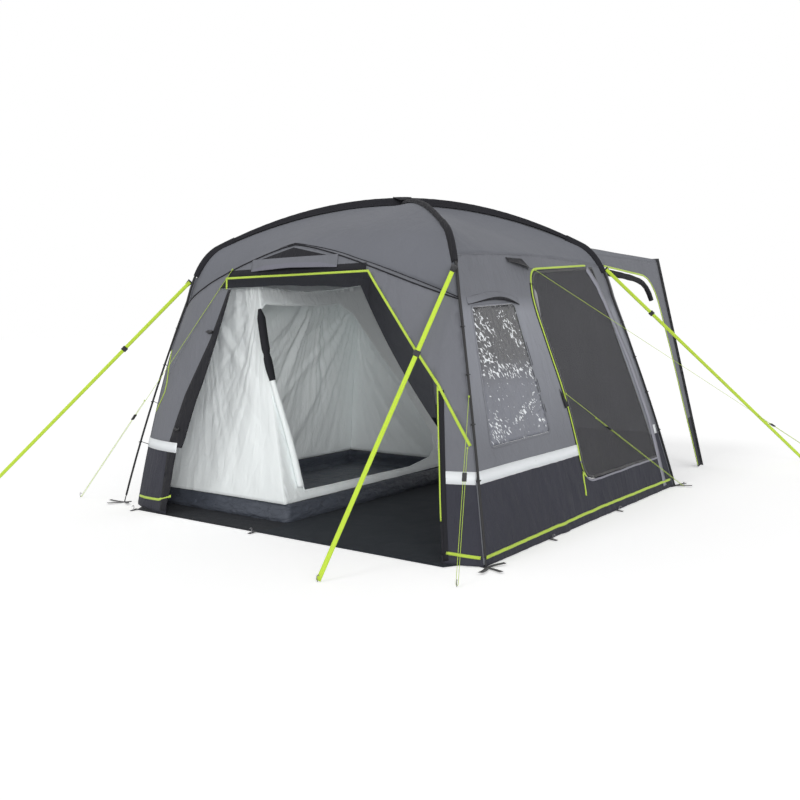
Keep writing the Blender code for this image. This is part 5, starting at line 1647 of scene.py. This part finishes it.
def make_toggles():
    """Black toggles and loops on the front flap, and the peg loops under the hems."""
    for number, (x, z) in enumerate(((-0.684, 1.200), (-0.90, 0.56))):
        middle = front(x, z, 0.012)
        bar = [middle + Vector((-0.032 + 0.064 * k / 8, 0, 0.004 * math.sin(k))) for k in range(9)]
        radii = [0.5, 0.9, 1.0, 1.05, 1.0, 1.05, 1.0, 0.9, 0.5]
        curve_piece("flap_toggle_%d" % number, [bar], 0.0075, PLASTIC, radii=radii)
        loop = [front(x + 0.03 * math.cos(angle), z + 0.012 * math.sin(angle), 0.007)
                for angle in np.linspace(0, 6.28, 17)]
        curve_piece("flap_loop_%d" % number, [loop], 0.0016, PLASTIC)
    loops = (("side", (1.478, 0.30), (1, 0)), ("front", (-0.06, -1.44), (0, -1)),
             ("left", (-1.478, 0.10), (-1, 0)), ("rear_side", (1.478, -0.62), (1, 0)),
             ("front_left", (-1.21, -1.435), (0, -1)))
    for name, (x, y), (out_x, out_y) in loops:
        out = Vector((out_x, out_y, 0.0))
        side = Vector((-out_y, out_x, 0.0))
        start = Vector((x, y, 0.008))
        points = []
        for part in (0.0, 0.35, 0.7, 1.0):
            for across in (-0.017, 0.017):
                points.append(start + out * (0.055 * part) + side * across * (1 - 0.3 * part)
                              - Vector((0, 0, 0.005 * part)))
        thicken(link_mesh("peg_loop_" + name, points, quads(3, 1), [BLACK_TAPE]), 0.0014, 1.0)
        make_peg("hem_peg_" + name, start + out * 0.036, -out)


make_roof()
make_roof_seams()
make_roof_gussets()
make_sleeves()
make_elbow_sleeves()
make_crossing_cover()
make_corner_tapes()
make_leg_clips()
make_foot_straps()
make_front_walls()
make_front_trim()
make_side_walls()
make_window()
make_side_door()
make_vents()
make_tunnel()
make_groundsheet()
make_bedroom()
make_toggles()
for node_name in NODES:
    if node_name.startswith("roof_pole"):
        finish_node(node_name, FIBRE)
    elif node_name.startswith("leg_pole"):
        finish_node(node_name, LEG)
    elif node_name.endswith(("_buckle", "_runner")) or node_name.startswith("leg_clip"):
        finish_node(node_name, PLASTIC)
finish_node("front_door_zip_slider", STEEL)


# Floor and light

FLOOR_GLOW = 0.38
FLOOR_HALF = 60.0


def make_floor():
    mesh = bpy.data.meshes.new("floor")
    corners = [(x * FLOOR_HALF, y * FLOOR_HALF, -0.001) for x, y in ((-1, -1), (1, -1), (1, 1), (-1, 1))]
    mesh.from_pydata(corners, [], [(0, 1, 2, 3)])
    white = Finish("floor_finish")
    rays = white.node("LightPath").outputs
    white.look(Base_Color=(0.93, 0.93, 0.93, 1.0), Roughness=0.95, Specular_IOR_Level=0.0,
               Emission_Color=(1.0, 1.0, 1.0, 1.0),
               Emission_Strength=white.math("MULTIPLY", rays["Is Camera Ray"], FLOOR_GLOW))
    mesh.materials.append(white.material)
    placed("floor", mesh)


def make_light():
    world = bpy.data.worlds.new("world")
    bpy.context.scene.world = world
    world.use_nodes = True
    sky = Nodes(world.node_tree)
    rays = sky.node("LightPath").outputs
    seen = sky.math("MAXIMUM", rays["Is Camera Ray"],
                    sky.math("MAXIMUM", rays["Is Glossy Ray"], rays["Is Transmission Ray"]))
    sky.fill(sky.tree.nodes["Background"], Color=(1.0, 1.0, 1.0, 1.0), Strength=sky.between(seen, 0.52, 1.0))
    for name, energy, angle, turn in (("key", 0.5, 18, (42, 0, -20)), ("fill", 2.0, 36, (85, 0, 49))):
        data = bpy.data.lights.new(name, "SUN")
        data.energy = energy
        data.angle = math.radians(angle)
        placed(name, data).rotation_euler = [math.radians(value) for value in turn]


make_floor()
make_light()
bpy.context.scene.view_settings.view_transform = "Standard"
